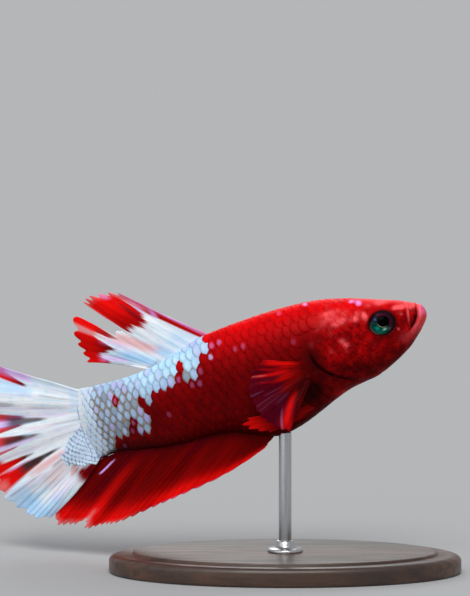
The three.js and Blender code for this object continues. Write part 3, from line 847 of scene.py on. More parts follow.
# The rows draw together towards the tail, and the scales in a row stand further apart there.
BODY_ROW = curve_through(
    [(9, 1.3), (14, 1.4), (31, 1.4), (36, 1.2), (41, 1.03), (43, 0.92), (45, 0.78), (47, 0.7)]
)
BODY_PITCH = curve_through([(9, 1.05), (33, 1.07), (40, 1.15), (43, 1.0), (45, 0.85), (47, 0.8)])
HEAD_ROW = curve_through([(4, 0.85), (9, 1.0), (15, 1.1)])
HEAD_PITCH = curve_through([(4, 0.66), (9, 0.78), (15, 0.86)])
UNWRAP_LENGTH = 50  # the bake map's width, in mm along the spine
PATCH = 0.0015  # half the width of a scale's patch on the bake map
SCALE_THICKNESS = 0.03
SCALE_SCATTER = 0.05  # by chance, a scale is larger or smaller by up to this share
SHOWN_MIDDLE = 0.745  # the middle of what shows of a scale, as a share of its length


def scale_plate():
    """The plate that every scale repeats: a rounded fan, domed above and closed below. lay
    says where a point is on it, rise how near the free edge, and roof how far up it is."""
    cells = 6  # along it and across it alike
    rows = columns = cells + 1
    points, lay, roof = [], [], []
    for i in range(rows):
        for j in range(columns):
            along = i / cells
            across = 2 * j / cells - 1
            half = 0.5 * math.sqrt(max(0.0, 1 - (1 - min(1, along * 1.25 + 0.35)) ** 2))
            free = 1 - 0.3 * across**2
            root = 0.1 * across**2
            x = root + (free - root) * along
            points.append((x, across * half, 0))
            lay.append((x, across * half * 2, 0))
            inner = (1 - across**4) * (1 - (2 * along - 1) ** 4)
            roof.append(0.4 + 0.6 * inner)
    faces = grid_faces(rows, columns)
    rim = list(range(columns))
    rim += [i * columns + columns - 1 for i in range(1, rows)]
    rim += [(rows - 1) * columns + j for j in range(columns - 2, -1, -1)]
    rim += [i * columns for i in range(rows - 2, 0, -1)]
    under = len(points)
    for index in rim:
        points.append(points[index])
        lay.append(lay[index])
        roof.append(-0.6)
    count = len(rim)
    for k in range(count):
        faces.append((rim[k], under + k, under + (k + 1) % count, rim[(k + 1) % count]))
    faces.append(tuple(under + k for k in range(count))[::-1])
    faces = [face[::-1] for face in faces]
    plate = new_object("scale_plate", np.array(points) / MM, faces)
    store(plate, "lay", np.array(lay))
    store(plate, "roof", np.array(roof))
    return plate


def scale_tree():
    """Lays a plate at every root and bends it onto the skin, its free edge standing clear."""
    tree, given = new_tree("lay_scales", (
        ("Skin", "Object"), ("Plate", "Object"), ("Finish", "Material"), ("Length", "Float"),
        ("Width", "Float"), ("Lift", "Float"), ("Sink", "Float"), ("Thickness", "Float"),
        ("Patch", "Float"), ("Scatter", "Float"), ("Seed", "Int"),
    ))

    def named(name, kind="FLOAT"):
        return add(tree, "GeometryNodeInputNamedAttribute", {"Name": name},
                   data_type=kind).outputs[0]

    def math_of(operation, first, second):
        return add(tree, "ShaderNodeMath", {0: first, 1: second},
                   operation=operation).outputs[0]

    def vector_of(operation, first, second):
        key = "Scale" if operation == "SCALE" else 1
        return add(tree, "ShaderNodeVectorMath", {0: first, key: second},
                   operation=operation).outputs[0]

    skin = add(tree, "GeometryNodeObjectInfo", {"Object": given["Skin"]}).outputs["Geometry"]
    plate = add(tree, "GeometryNodeObjectInfo", {"Object": given["Plate"]}).outputs["Geometry"]
    turned = add(tree, "FunctionNodeAxesToRotation", {
        "Primary Axis": named("outward", "FLOAT_VECTOR"),
        "Secondary Axis": named("tailward", "FLOAT_VECTOR"),
    }, primary_axis="Z", secondary_axis="X").outputs[0]
    varied = add(tree, "FunctionNodeRandomValue", {
        2: math_of("SUBTRACT", 1.0, given["Scatter"]), 3: math_of("ADD", 1.0, given["Scatter"]),
        "Seed": given["Seed"],
    }, data_type="FLOAT").outputs[1]
    size = math_of("MULTIPLY", varied, named("size"))
    spread = add(tree, "ShaderNodeCombineXYZ", {
        0: math_of("MULTIPLY", given["Length"], size),
        1: math_of("MULTIPLY", given["Width"], size),
        2: 1.0,
    }).outputs[0]
    laid = add(tree, "GeometryNodeInstanceOnPoints", {
        "Points": given["Geometry"], "Instance": plate, "Rotation": turned, "Scale": spread,
    }).outputs[0]
    real = add(tree, "GeometryNodeRealizeInstances", {0: laid}).outputs[0]
    on_skin = add(tree, "GeometryNodeProximity", {0: skin}, target_element="FACES").outputs[0]
    normal = add(tree, "GeometryNodeInputNormal").outputs[0]
    outward = add(tree, "GeometryNodeSampleNearestSurface", {"Mesh": skin, "Value": normal},
                  data_type="FLOAT_VECTOR").outputs[0]
    lay = named("lay", "FLOAT_VECTOR")
    rise = add(tree, "ShaderNodeSeparateXYZ", {0: lay}).outputs[0]
    stand = math_of("SUBTRACT", math_of("MULTIPLY", rise, given["Lift"]), given["Sink"])
    stand = math_of("ADD", stand, math_of("MULTIPLY", named("roof"), given["Thickness"]))
    stand = math_of("MULTIPLY", stand, named("looseness"))
    place = vector_of("ADD", on_skin, vector_of("SCALE", outward, stand))
    bent = add(tree, "GeometryNodeSetPosition", {"Geometry": real, "Position": place}).outputs[0]
    patch = vector_of("ADD", named("root_map", "FLOAT_VECTOR"),
                      vector_of("SCALE", lay, given["Patch"]))
    mapped = add(tree, "GeometryNodeStoreNamedAttribute", {
        "Geometry": bent, "Name": "OFBake", "Value": patch,
    }, data_type="FLOAT2", domain="CORNER").outputs[0]
    # Each scale takes the skin's painted shade, pink and painted highlights, and painted top
    # light where it lies.
    for name in ("shade", "flush", "shine", "height", "head"):
        here = add(tree, "GeometryNodeSampleNearestSurface",
                   {"Mesh": skin, "Value": named(name)}, data_type="FLOAT").outputs[0]
        mapped = add(tree, "GeometryNodeStoreNamedAttribute", {
            "Geometry": mapped, "Name": name, "Value": here,
        }, data_type="FLOAT", domain="POINT").outputs[0]
    for name in ("outward", "tailward", "root_map", "size", "looseness"):
        mapped = add(tree, "GeometryNodeRemoveAttribute",
                     {"Geometry": mapped, "Name": name}).outputs[0]
    return end_tree(tree, mapped, given["Finish"])


def grow(name, roots, tree, inputs):
    """Runs a Geometry Nodes tree over the roots and keeps its result as a plain mesh."""
    modifier = roots.modifiers.new("grow", "NODES")
    modifier.node_group = tree
    sockets = {item.name: item.identifier for item in tree.interface.items_tree
               if item.in_out == "INPUT"}
    for key, value in inputs.items():
        modifier[sockets[key]] = value
    depsgraph = bpy.context.evaluated_depsgraph_get()
    mesh = bpy.data.meshes.new_from_object(roots.evaluated_get(depsgraph))
    mesh.name = name
    bpy.data.objects.remove(roots)
    return add_object(name, mesh)


def side_angles(s, rows, row_gap):
    """For each s, the angles at which rows a set gap apart run, level with the side's middle,
    and whether each row is on the body there."""
    angle = np.linspace(0, math.pi, 241)
    angles, there = [], []
    for at in s:
        points, _, _ = skin_surface(at, angle)
        arc = np.append(0, np.cumsum(np.linalg.norm(np.diff(points, axis=0), axis=1)))
        arc -= np.interp(math.pi / 2, angle, arc)
        wanted = rows * row_gap(at)
        angles.append(np.interp(wanted, arc, angle))
        there.append((wanted > arc[0] + 0.3) & (wanted < arc[-1] - 0.3))
    return np.array(angles), np.array(there)


def lattice(first, last, pitch, row_gap, side):
    """Roots over one side, in rows along the fish, every other row half a pitch further on."""
    columns = [first]
    while columns[-1] < last:
        columns.append(columns[-1] + pitch(columns[-1]) / 2)
    columns = np.array(columns[:-1])
    rows = np.arange(-10, 11)
    angles, there = side_angles(columns, rows, row_gap)
    staggered = (np.arange(len(columns))[:, None] + rows[None, :]) % 2 == 0
    keep = there & staggered
    s = np.broadcast_to(columns[:, None], keep.shape)[keep]
    return s, side * angles[keep]


def on_head(s, h):
    """True on the scaled part of the head: behind the eyes and ahead of the gill slit."""
    off_gill, along_gill = off_line(GILL_EDGE, s, h)
    from_eye = off_eye(s + 0.9, h)
    bare_snout = s < 6.4 + 0.35 * np.clip(-h - 1, 0, 5) + 0.3 * np.clip(h - 3, 0, 3)
    bare_edge = 1.35 + 0.45 * ease(0.15, 0.3, along_gill)
    return (off_gill < -bare_edge) & (from_eye > 2.5) & ~bare_snout & (h > -4.6)


def on_trunk(s, h):
    """True behind the gill slit, and clear of the root of the pectoral fin."""
    off_gill, along_gill = off_line(GILL_EDGE, s, h)
    fin_root = oval(s + 0.7, h, *PECTORAL_ROOT, 0.9, 1.2)
    below_gill = (h < -3) & (s < 12.5)
    behind_slit = off_gill > -1.3 + 1.6 * ease(0.15, 0.3, along_gill)
    return behind_slit & (fin_root > 1) & ~below_gill


def plant(name, s, angle, sizes, kind, skin, growing, seed):
    """Grows one piece of scales from roots at s and angle on the skin."""
    points, normal, (at_s, h, _) = skin_surface(s, angle)
    ahead, _, _ = skin_surface(s + 0.4, angle)
    chance = np.random.default_rng(seed)
    seen_s = at_s + SHOWN_MIDDLE * kind["length"] * sizes
    ragged = ease(40, 34, seen_s)  # the front of the pale part is more broken up
    reach, solid = pale_marks(seen_s + chance.normal(0, 0.4, h.shape) * ragged,
                              h + chance.normal(0, 1, h.shape) * (0.12 + 0.2 * ragged))
    reach = np.where(reach > 0.3, reach + chance.normal(0, 0.05, h.shape), 0)
    veil = np.where(reach > 0, 1.0, 0.0)
    for stray_s, stray_h, strength in STRAY_PALE:
        gap = np.hypot(seen_s - stray_s, h - stray_h)
        nearest = np.argmin(gap)
        if gap[nearest] < 1.2 and reach[nearest] < 0.5:
            reach[nearest] = 0.55
            veil[nearest] = strength
    turn = 0.5 + 0.98 * angle / TAU  # a margin keeps the belly's patches on the map
    return grow_scales(name, points, normal, ahead - points, kind, skin, growing, seed, {
        "size": sizes, "looseness": 1 - 0.25 * ease(43, 46.5, at_s), "pale": reach, "veil": veil,
        "solid": solid, "whiteness": ease(44.0, 45.6, seen_s),
        "root_map": np.stack([at_s / UNWRAP_LENGTH, turn, 0 * turn], axis=-1),
    })


def grow_scales(name, points, normal, tailward, kind, surface, growing, seed, marks):
    """Grows scales on a surface, from roots whose marks are given one by one."""
    plate, tree, finish = growing
    chance = np.random.default_rng(seed + 100)
    roots = new_object(f"{name}_roots", points, [])
    store(roots, "outward", normal)
    store(roots, "tailward", tailward + chance.normal(0, 0.02, tailward.shape))
    store(roots, "tone", chance.uniform(0, 1, len(points)))
    for label, values in marks.items():
        store(roots, label, values)
    return grow(name, roots, tree, {
        "Skin": surface, "Plate": plate, "Finish": finish, "Length": kind["length"] * MM,
        "Width": kind["width"] * MM, "Lift": kind["lift"] * MM, "Sink": kind["sink"] * MM,
        "Thickness": SCALE_THICKNESS * MM, "Patch": PATCH, "Scatter": SCALE_SCATTER,
        "Seed": seed,
    })


def make_scales(skin, growing):
    """The scales of the trunk and the cheeks on each side, and a row on the back and belly."""
    pieces = []
    for number, (label, side) in enumerate(SIDES):
        s, angle = lattice(9.0, CAUDAL_ROOT, BODY_PITCH, BODY_ROW, side)
        _, _, (at_s, h, _) = skin_surface(s, angle)
        keep = on_trunk(at_s, h) & (s < 45.1 + 1.8 * ease(0.2, -2.0, h))
        s, angle = s[keep], angle[keep]
        sizes = 1 - 0.3 * ease(41.5, 45.5, s) - 0.12 * ease(14, 9, s)
        sizes *= 1 - 0.14 * ease(33, 41, s)
        pieces.append(plant(f"scales_{label}", s, angle, sizes, BODY_SCALE, skin, growing,
                            11 + number))
        s, angle = lattice(4.5, HEAD_END, HEAD_PITCH, HEAD_ROW, side)
        _, _, (at_s, h, _) = skin_surface(s, angle)
        keep = on_head(at_s, h)
        s, angle = s[keep], angle[keep]
        sizes = 0.8 + 0.2 * ease(7, 10, s)
        pieces.append(plant(f"scales_cheek_{label}", s, angle, sizes, HEAD_SCALE, skin,
                            growing, 21 + number))
    back = np.concatenate([np.arange(7.2, 26.2, 1.07), np.arange(37.2, 43.1, 1.07)])
    belly = np.arange(12.5, 22.5, 1.07)
    s = np.concatenate([back, belly])
    angle = np.concatenate([back * 0, belly * 0 + math.pi])
    pieces.append(plant("scales_midline", s, angle, 0.85 + 0 * s, BODY_SCALE, skin, growing, 31))
    return pieces


# ---- Fins -----------------------------------------------------------------------------------

ROOT_DEPTH = 1.2  # how far a fin starts inside the body
WEB_THICKNESS = 0.24  # at the root of a fin
RAY_GIRTH = 0.6  # a ray's radius at its root, as a share of its web's thickness there
LOBE_OFFSET = 0.28  # the anal fin's rear and the tail fin's lower lobe pass each other
CAUDAL_ROOT = 46.9  # the s at which the tail fin starts
CAUDAL_TOP, CAUDAL_HEIGHT = 4.7, 9.1  # the h of its first ray there, and how far down it runs
PECTORAL_ROOT = (15.9, -1.6)
PELVIC_ROOT = (15.6, -6.2)


def along_ray(s, h, angle_deg, bend_deg, reach, v):
    """The place (s, h) at a share v of a ray that leaves a root at an angle over the spine."""
    angle = np.radians(angle_deg + bend_deg * v / 2)
    return s + reach * v * np.cos(angle), h + reach * v * np.sin(angle)


def aside(u, v):
    """The share of LOBE_OFFSET by which a fin steps aside: all of it on its last ray, from a
    quarter of the way out."""
    return u**3 * np.minimum(4 * v, 1)


DORSAL_ROOT = curve_through([(0, 26.7), (0.5, 33.2), (0.75, 34.4), (1, 35.1)])
DORSAL_ANGLE = curve_through(
    [(0, 42), (0.15, 44), (0.45, 48), (0.55, 47), (0.75, 34.6), (1, 22.7)]
)
DORSAL_REACH = curve_through(
    [(0, 13.2), (0.15, 14), (0.3, 14.4), (0.45, 14), (0.55, 14.2), (0.75, 12.38), (1, 9.64)]
)
CAUDAL_REACH = curve_through([
    (0, 13.2), (0.1, 15.8), (0.2, 17.3), (0.35, 18.2), (0.5, 18.4), (0.7, 17.8), (0.8, 16.8),
    (0.9, 15), (1, 12.4),
])
ANAL_ANGLE = curve_through([
    (0, -36), (0.15, -32), (0.3, -30), (0.5, -27), (0.7, -27.2), (0.9, -27.4), (0.96, -24.5),
    (1, -12),
])
ANAL_REACH = curve_through([
    (0, 2.4), (0.15, 9.5), (0.3, 13.6), (0.5, 17.0), (0.7, 16.8), (0.85, 15.1), (0.93, 14.7),
    (0.97, 12.5), (1, 6),
])
PECTORAL_REACH = curve_through([(0, 5.2), (0.25, 6.9), (0.5, 7.5), (0.75, 7.6), (1, 7.1)])
PELVIC_REACH = curve_through([(0, 9), (0.3, 9.7), (1, 7)])


def from_inside(reach, v):
    """A ray's length from its root inside the body, and v, a share of its reach outside, as a
    share of that length."""
    length = reach + ROOT_DEPTH
    return length, (ROOT_DEPTH + reach * v) / length


# Each of these gives the place [s, h, l] of a fin's ray u, 0 at its front or top edge and 1 at
# its rear or lower edge, at a share v of the ray's length outside the body.


def dorsal_place(u, v):
    """The nearer its rear edge, the more its rays bend back down."""
    root_at = DORSAL_ROOT(u)
    length, v = from_inside(DORSAL_REACH(u), v)
    s, h = along_ray(root_at - 0.8 * ROOT_DEPTH, BACK(root_at) - ROOT_DEPTH,
                     DORSAL_ANGLE(u) + 8 * u**6, -16 * u**6, length, v)
    return s, h, 0.25 * v * np.sin(u * math.pi * 5)


def caudal_place(u, v):
    """A fan, gently pleated, whose lower rays bow up."""
    s, h = along_ray(CAUDAL_ROOT, CAUDAL_TOP - CAUDAL_HEIGHT * u, 29.5 - 65.5 * u, 16 * u**3,
                     CAUDAL_REACH(u), v)
    return s, h, 0.45 * v * np.sin(u * math.pi * 8) - LOBE_OFFSET * aside(u, v)


def anal_place(u, v):
    """Its roots run along the underside, almost to the tail fin."""
    root_at = 22.6 + 23.2 * u
    length, v = from_inside(ANAL_REACH(u), v)
    s, h = along_ray(root_at - 0.8 * ROOT_DEPTH, BELLY(root_at) + ROOT_DEPTH - 0.9 * u,
                     ANAL_ANGLE(u), 0, length, v)
    pleat = 0.3 * v * np.sin(u * math.pi * 8)
    return s, h, pleat + LOBE_OFFSET * aside(u, v)


def pectoral_place(side):
    """The right one stands off to the right and the left one to the left."""
    def place(u, v):
        root_s, root_h = PECTORAL_ROOT
        s, h = along_ray(root_s, root_h + 1.5 * (0.5 - u), 26 - 77 * u, 0, PECTORAL_REACH(u), v)
        ripple = 0.15 * v * np.sin(u * math.pi * 7)
        return s, h, side * (3.2 + 3.1 * v - 0.8 * v * v + ripple)

    return place


def pelvic_place(side):
    """Its root is drawn up into the breast."""
    def place(u, v):
        root_s, root_h = PELVIC_ROOT
        s, h = along_ray(root_s, root_h - 0.5 * u, 9 - 14 * u, 0, PELVIC_REACH(u), v)
        inside = ease(0.22, 0, v)
        return s, h + 0.9 * inside, side * (1.7 + 2.6 * np.sin(v * math.pi / 2) - 0.3 * inside)

    return place


# The marks of each fin, from 0 to 1, at its ray u and a share v of the ray's length. glow is how
# bright its red is, and the others say how much of that colour lies over the red. A mark that a
# fin doesn't give is 0 all over it.
# dark is painted shade: in the pleats and the gaps between rays, along the roots, and at the
# lower corner of the tail fin's root.
FIN_MARKS = ("glow", "pale", "blue", "lilac", "salmon", "dark", "wine")


def strokes(u, v, *lines, soft=0.15):
    """Strokes along a fin. Each runs from (u0, v0) to (u1, v1), spreads half0 and then half1
    to either side, and has a strength. soft is how gently they end and how soft their sides
    are."""
    clear = 1.0
    for u0, v0, u1, v1, half0, half1, strength in lines:
        along = (v - v0) / (v1 - v0)
        half = half0 + (half1 - half0) * np.clip(along, 0, 1)
        mark = ease(1 + 2 * soft, 1 - 2 * soft, abs(u - u0 - (u1 - u0) * along) / half)
        mark = mark * ease(-0.6 * soft, 0.6 * soft, along)
        mark = mark * ease(1 + 0.6 * soft, 1 - 0.6 * soft, along)
        clear = clear * (1 - strength * mark)
    return 1 - clear


def blots(u, v, *spots):
    """Soft blots on a fin: u, v, half their width across the rays, half their length along
    them, how much they lean, and a strength."""
    clear = 1.0
    for at_u, at_v, half_u, half_v, lean, strength in spots:
        across = (u - at_u - lean * (v - at_v)) / half_u
        mark = strength * bell(np.hypot(across, (v - at_v) / half_v), 1)
        clear = clear * (1 - np.clip(mark, 0, 1))
    return 1 - clear


def dorsal_marks(u, v):
    red_from = curve_through([
        (0, 1.2), (0.1, 0.75), (0.13, 0.6), (0.17, 0.5), (0.22, 0.45), (0.28, 0.42), (0.35, 0.47),
        (0.42, 0.47), (0.455, 0.52), (0.475, 1.1), (0.58, 1.1), (0.595, 0.54), (0.61, 0.5),
        (0.63, 0.55), (0.645, 0.72), (0.685, 0.72), (0.7, 0.57), (0.72, 0.52), (0.75, 0.54),
        (0.79, 0.59), (0.85, 0.69), (0.9, 0.74), (0.95, 0.66), (1, 0.62),
    ])
    frayed = 0.02 * np.sin(u * 83) + 0.014 * np.sin(u * 217)
    red = ease(-0.03, 0.04, v - red_from(u) - frayed)
    front = strokes(u, v, (0.03, 0.0, 0.05, 0.55, 0.04, 0.045, 1.0),
                    (0.05, 0.5, 0.03, 1.05, 0.05, 0.06, 0.98))
    return {
        "glow": 0.42 + 0.58 * ease(0.5, 0.85, v) - 0.3 * ease(0.66, 0.72, u)
        + 0.3 * ease(0.07, 0.0, u)
        + 0.1 * blots(u, v, (0.32, 0.85, 0.12, 0.2, 0, 1)),
        "pale": 1 - np.maximum(red, front),
        "blue": strokes(u, v, (0.66, 0.0, 0.78, 0.5, 0.1, 0.07, 0.5),
                        (0.42, 0.02, 0.44, 0.18, 0.06, 0.05, 0.5), soft=0.45)
        + blots(u, v, (0.2, 0.12, 0.2, 0.12, 0, 0.35), (0.8, 0.3, 0.14, 0.3, 0.4, 0.3)),
        "lilac": strokes(u, v, (0.005, 0.15, 0.0, 1.0, 0.006, 0.01, 0.2),
                         (0.01, 0.0, 0.005, 0.55, 0.018, 0.02, 0.4),
                         (0.1, 0.46, 0.02, 0.62, 0.02, 0.02, 0.45),
                         (0.13, 0.55, 0.04, 0.82, 0.018, 0.018, 0.35),
                         (0.02, 0.6, 0.02, 1.05, 0.03, 0.04, 0.25),
                         (0.075, 0.5, 0.0, 0.66, 0.02, 0.02, 0.2),
                         (0.12, 0.6, 0.06, 0.85, 0.015, 0.015, 0.15),
                         (0.19, 0.9, 0.17, 1.05, 0.03, 0.04, 0.4),
                         (0.62, 0.33, 0.69, 0.66, 0.05, 0.03, 0.25),
                         (0.86, 0.35, 0.93, 0.75, 0.05, 0.05, 0.5), soft=0.35),
        "salmon": 0.3 * ease(0.88, 1.0, v) * ease(0.5, 0.45, u)
        + strokes(u, v, (0.47, 0.15, 0.6, 0.54, 0.075, 0.055, 0.85),
                  (0.655, 0.62, 0.675, 1.05, 0.015, 0.022, 0.65),
                  (0.46, 0.55, 0.47, 1.05, 0.012, 0.02, 0.3),
                  (0.07, 0.62, 0.05, 1.05, 0.03, 0.04, 0.3), soft=0.35),
        # Painted shade in creases between rays and along the root.
        "dark": strokes(u, v, (0.19, 0.52, 0.17, 0.8, 0.012, 0.02, 0.3),
                        (0.605, 0.5, 0.62, 0.72, 0.01, 0.02, 0.4),
                        (0.715, 0.48, 0.73, 0.66, 0.01, 0.012, 0.35),
                        (0.97, 0.3, 0.99, 0.7, 0.03, 0.03, 0.45))
        + blots(u, v, (0.66, 0.045, 0.12, 0.02, 0, 0.35), (0.88, 0.07, 0.1, 0.03, 0.3, 0.5)),
        "wine": blots(u, v, (0.2, 0.6, 0.025, 0.2, -0.25, 0.5)),
    }


def caudal_marks(u, v):
    red = strokes(u, v, (0.088, 0.58, 0.03, 1.02, 0.008, 0.03, 1),
                  (0.31, 0.58, 0.29, 1.05, 0.012, 0.035, 0.95),
                  (0.352, 0.6, 0.385, 1.05, 0.008, 0.024, 0.95),
                  (0.43, 0.58, 0.425, 1.05, 0.012, 0.04, 0.95),
                  (0.475, 0.68, 0.497, 1.05, 0.004, 0.012, 0.85),
                  (0.55, 0.64, 0.565, 1.05, 0.008, 0.03, 1),
                  (0.605, 0.52, 0.64, 1.05, 0.018, 0.06, 1))
    corner = blots(u, v, (1.02, 0.06, 0.035, 0.1, 0, 2.0), (1.0, 0.2, 0.07, 0.12, 0, 2.2),
                   (0.91, 0.27, 0.035, 0.055, 0, 1.2), (0.85, 0.31, 0.022, 0.07, 0.1, 0.75),
                   (0.95, 0.26, 0.04, 0.07, 0, 1.3), (0.98, 0.29, 0.03, 0.07, 0, 0.8))
    red = np.maximum(red, corner)
    margin = ease(0.86, 0.95, v + 0.03 * np.sin(u * 61)) * ease(0.7, 0.66, u)
    lobe = [(start, 0.42, start + 0.055, 1.03, 0.004, 0.006, 0.3)
            for start in (0.735, 0.775, 0.81, 0.845, 0.88, 0.915, 0.945)]
    return {
        "glow": 0.12 + 0.68 * ease(0.58, 0.88, v) + 0.1 * ease(0.2, 0.32, v) * ease(0.5, 0.4, v),
        "pale": 1 - np.maximum(red, margin),
        "blue": strokes(u, v, (0.13, 0.5, 0.1, 0.95, 0.03, 0.04, 0.5),
                        (0.02, 0.15, 0.05, 0.6, 0.06, 0.04, 0.25),
                        (0.1, 0.02, 0.1, 0.12, 0.3, 0.2, 0.3),
                        (0.72, 0.05, 0.72, 0.3, 0.2, 0.06, 0.35),
                        (0.78, 0.78, 0.86, 1.06, 0.09, 0.15, 0.7),
                        (0.93, 0.62, 0.96, 1.0, 0.05, 0.06, 0.6), soft=0.45),
        "lilac": strokes(u, v, (0.03, 0.58, 0.0, 1.0, 0.03, 0.035, 0.7),
                         (0.335, 0.62, 0.335, 1.02, 0.016, 0.024, 0.6),
                         (0.452, 0.5, 0.465, 0.9, 0.012, 0.015, 0.5),
                         (0.578, 0.6, 0.588, 0.85, 0.006, 0.008, 0.4),
                         (0.3, 0.15, 0.3, 0.7, 0.03, 0.02, 0.18),
                         (0.87, 0.4, 0.9, 0.7, 0.05, 0.05, 0.15), soft=0.35),
        "salmon": strokes(u, v, (0.645, 0.3, 0.665, 0.66, 0.025, 0.025, 0.8),
                          (0.74, 0.34, 0.79, 0.62, 0.05, 0.05, 0.4),
                          (0.8, 0.26, 0.845, 0.37, 0.02, 0.02, 0.75),
                          (0.4, 0.3, 0.4, 0.55, 0.015, 0.015, 0.3),
                          (0.65, 0.9, 0.655, 1.05, 0.025, 0.03, 0.3), soft=0.45),
        # Painted shade in the pleats and between rays, and at the lower corner by the stalk.
        "dark": strokes(u, v, (0.155, 0.12, 0.145, 0.42, 0.008, 0.01, 0.22),
                        (0.255, 0.12, 0.245, 0.5, 0.012, 0.012, 0.25),
                        (0.22, 0.64, 0.22, 0.85, 0.008, 0.02, 0.4),
                        (0.335, 0.38, 0.33, 0.74, 0.01, 0.026, 0.85),
                        (0.4, 0.06, 0.39, 0.33, 0.018, 0.01, 0.25),
                        (0.437, 0.46, 0.435, 0.78, 0.01, 0.022, 0.75),
                        (0.549, 0.58, 0.55, 0.72, 0.005, 0.01, 0.6),
                        (0.597, 0.36, 0.608, 0.74, 0.01, 0.026, 0.95),
                        (0.69, 0.31, 0.7, 0.46, 0.012, 0.012, 0.4),
                        (0.7, 0.6, 0.715, 0.96, 0.006, 0.008, 0.35), *lobe, soft=0.3)
        + blots(u, v, (0.8, 0.28, 0.03, 0.07, 0.2, 0.5), (0.97, 0.09, 0.06, 0.035, 0, 0.7)),
        "wine": blots(u, v, (0.98, 0.22, 0.05, 0.08, 0, 0.5)),
    }


def anal_marks(u, v):
    at = v + 0.1 * bell(u - 0.73, 0.06) + 0.012 * np.sin(u * 37)
    tint = ease(0.9, 1.0, at) * ease(0.35, 0.5, u)
    glow_at = curve_through(
        [(0, 0.03), (0.1, 0.08), (0.5, 0.13), (0.65, 0.24), (0.75, 0.5), (0.86, 0.93), (1, 1)]
    )
    bright = strokes(u, v, (0.76, 0.2, 0.725, 0.9, 0.04, 0.045, 0.3),
                     (0.16, 0.1, 0.13, 0.9, 0.03, 0.03, 0.05),
                     (0.3, 0.15, 0.24, 0.9, 0.025, 0.03, 0.06),
                     (0.43, 0.1, 0.36, 0.9, 0.025, 0.03, 0.05),
                     (0.63, 0.1, 0.52, 0.95, 0.025, 0.03, 0.08), soft=0.45)
    return {
        "glow": glow_at(at) + bright,
        "lilac": strokes(u, v, (0.922, 0.09, 0.938, 0.27, 0.012, 0.01, 0.9))
        + 0.25 * ease(0.95, 1.0, v) * ease(0.4, 0.3, u),
        "salmon": 0.4 * tint
        + strokes(u, v, (0.735, 0.74, 0.735, 0.9, 0.02, 0.02, 0.25), soft=0.45),
        "wine": strokes(u, v, (0.83, 0.08, 0.86, 0.62, 0.045, 0.05, 0.3),
                        (0.34, 0.0, 0.36, 0.25, 0.05, 0.04, 0.3)) + 0.3 * ease(0.08, 0.0, v),
    }


def pectoral_marks(u, v):
    beams = strokes(u, v, (0.07, 0.32, 0.015, 0.98, 0.08, 0.05, 0.8),
                    (0.2, 0.45, 0.12, 0.97, 0.03, 0.014, 0.5),
                    (0.25, 0.42, 0.215, 1.0, 0.04, 0.014, 0.65),
                    (0.36, 0.6, 0.31, 0.84, 0.012, 0.012, 0.35),
                    (0.36, 0.3, 0.365, 0.62, 0.05, 0.025, 0.3),
                    (0.8, 0.46, 0.95, 0.98, 0.05, 0.06, 0.75), soft=0.5)
    outer = ease(0.4, 0.62, v + 0.06 * np.sin(u * 31))
    root_glow = 0.16 * ease(0.75, 0.4, u) * ease(0.0, 0.25, v) + 0.03 * ease(0.3, 0.5, v)
    return {
        "glow": root_glow * (1 - 0.3 * outer) + beams,
        "lilac": strokes(u, v, (0.425, 0.8, 0.425, 1.0, 0.006, 0.01, 0.35),
                         (0.5, 0.54, 0.49, 0.78, 0.006, 0.008, 0.2),
                         (0.54, 0.66, 0.55, 1.0, 0.006, 0.008, 0.15),
                         (0.6, 0.6, 0.61, 1.0, 0.006, 0.008, 0.15),
                         (0.67, 0.5, 0.67, 0.7, 0.02, 0.02, 0.1),
                         (0.77, 0.7, 0.91, 0.97, 0.012, 0.012, 0.25), soft=0.4),
        "salmon": strokes(u, v, (0.235, 0.75, 0.215, 1.0, 0.006, 0.006, 0.25), soft=0.4),
        "wine": np.clip(outer * (1 - 1.2 * beams) * ease(1.1, 0.8, u), 0, 1) * 0.8,
    }


def pelvic_marks(u, v):
    return {
        "glow": 0.1 + 0.45 * ease(0.15, 0.6, v) - 0.3 * ease(0.5, 1.0, u),
        "wine": 0.4 * ease(0.2, 0.0, v),
    }


def no_tear(u):
    """The share of each ray that the web of a whole fin reaches."""
    return 1 + 0 * u


def dorsal_tear(u):
    """The share of each ray that the web reaches: the margin is torn open once."""
    return 1 - 0.46 * ease(0.072, 0.048, abs(u - 0.533))


def anal_tear(u):
    """The same for the anal fin, whose margin only dips."""
    return 1 - 0.05 * bell(u - 0.58, 0.1) - 0.12 * bell(u - 0.745, 0.045)


def comb(u, rays):
    """1 on each ray and 0 midway between two."""
    return 0.5 + 0.5 * np.cos(TAU * (u * (rays - 1)))


def keep_marks(thing, marks, u, v):
    """Keeps a fin's marks on its mesh, and where each point lies in the fin."""
    found = marks(u, v)
    for name in FIN_MARKS:
        store(thing, name, np.clip(found.get(name, 0) + 0 * u, 0, 1))
    store(thing, "lie", np.stack([u, v, 0 * u], axis=-1))


def margin(u, rays, notch, torn):
    """The share of its length that the web reaches at u: less between rays, and at tears."""
    return torn(u) * (1 - notch * (1 - comb(u, rays)) ** 1.5)


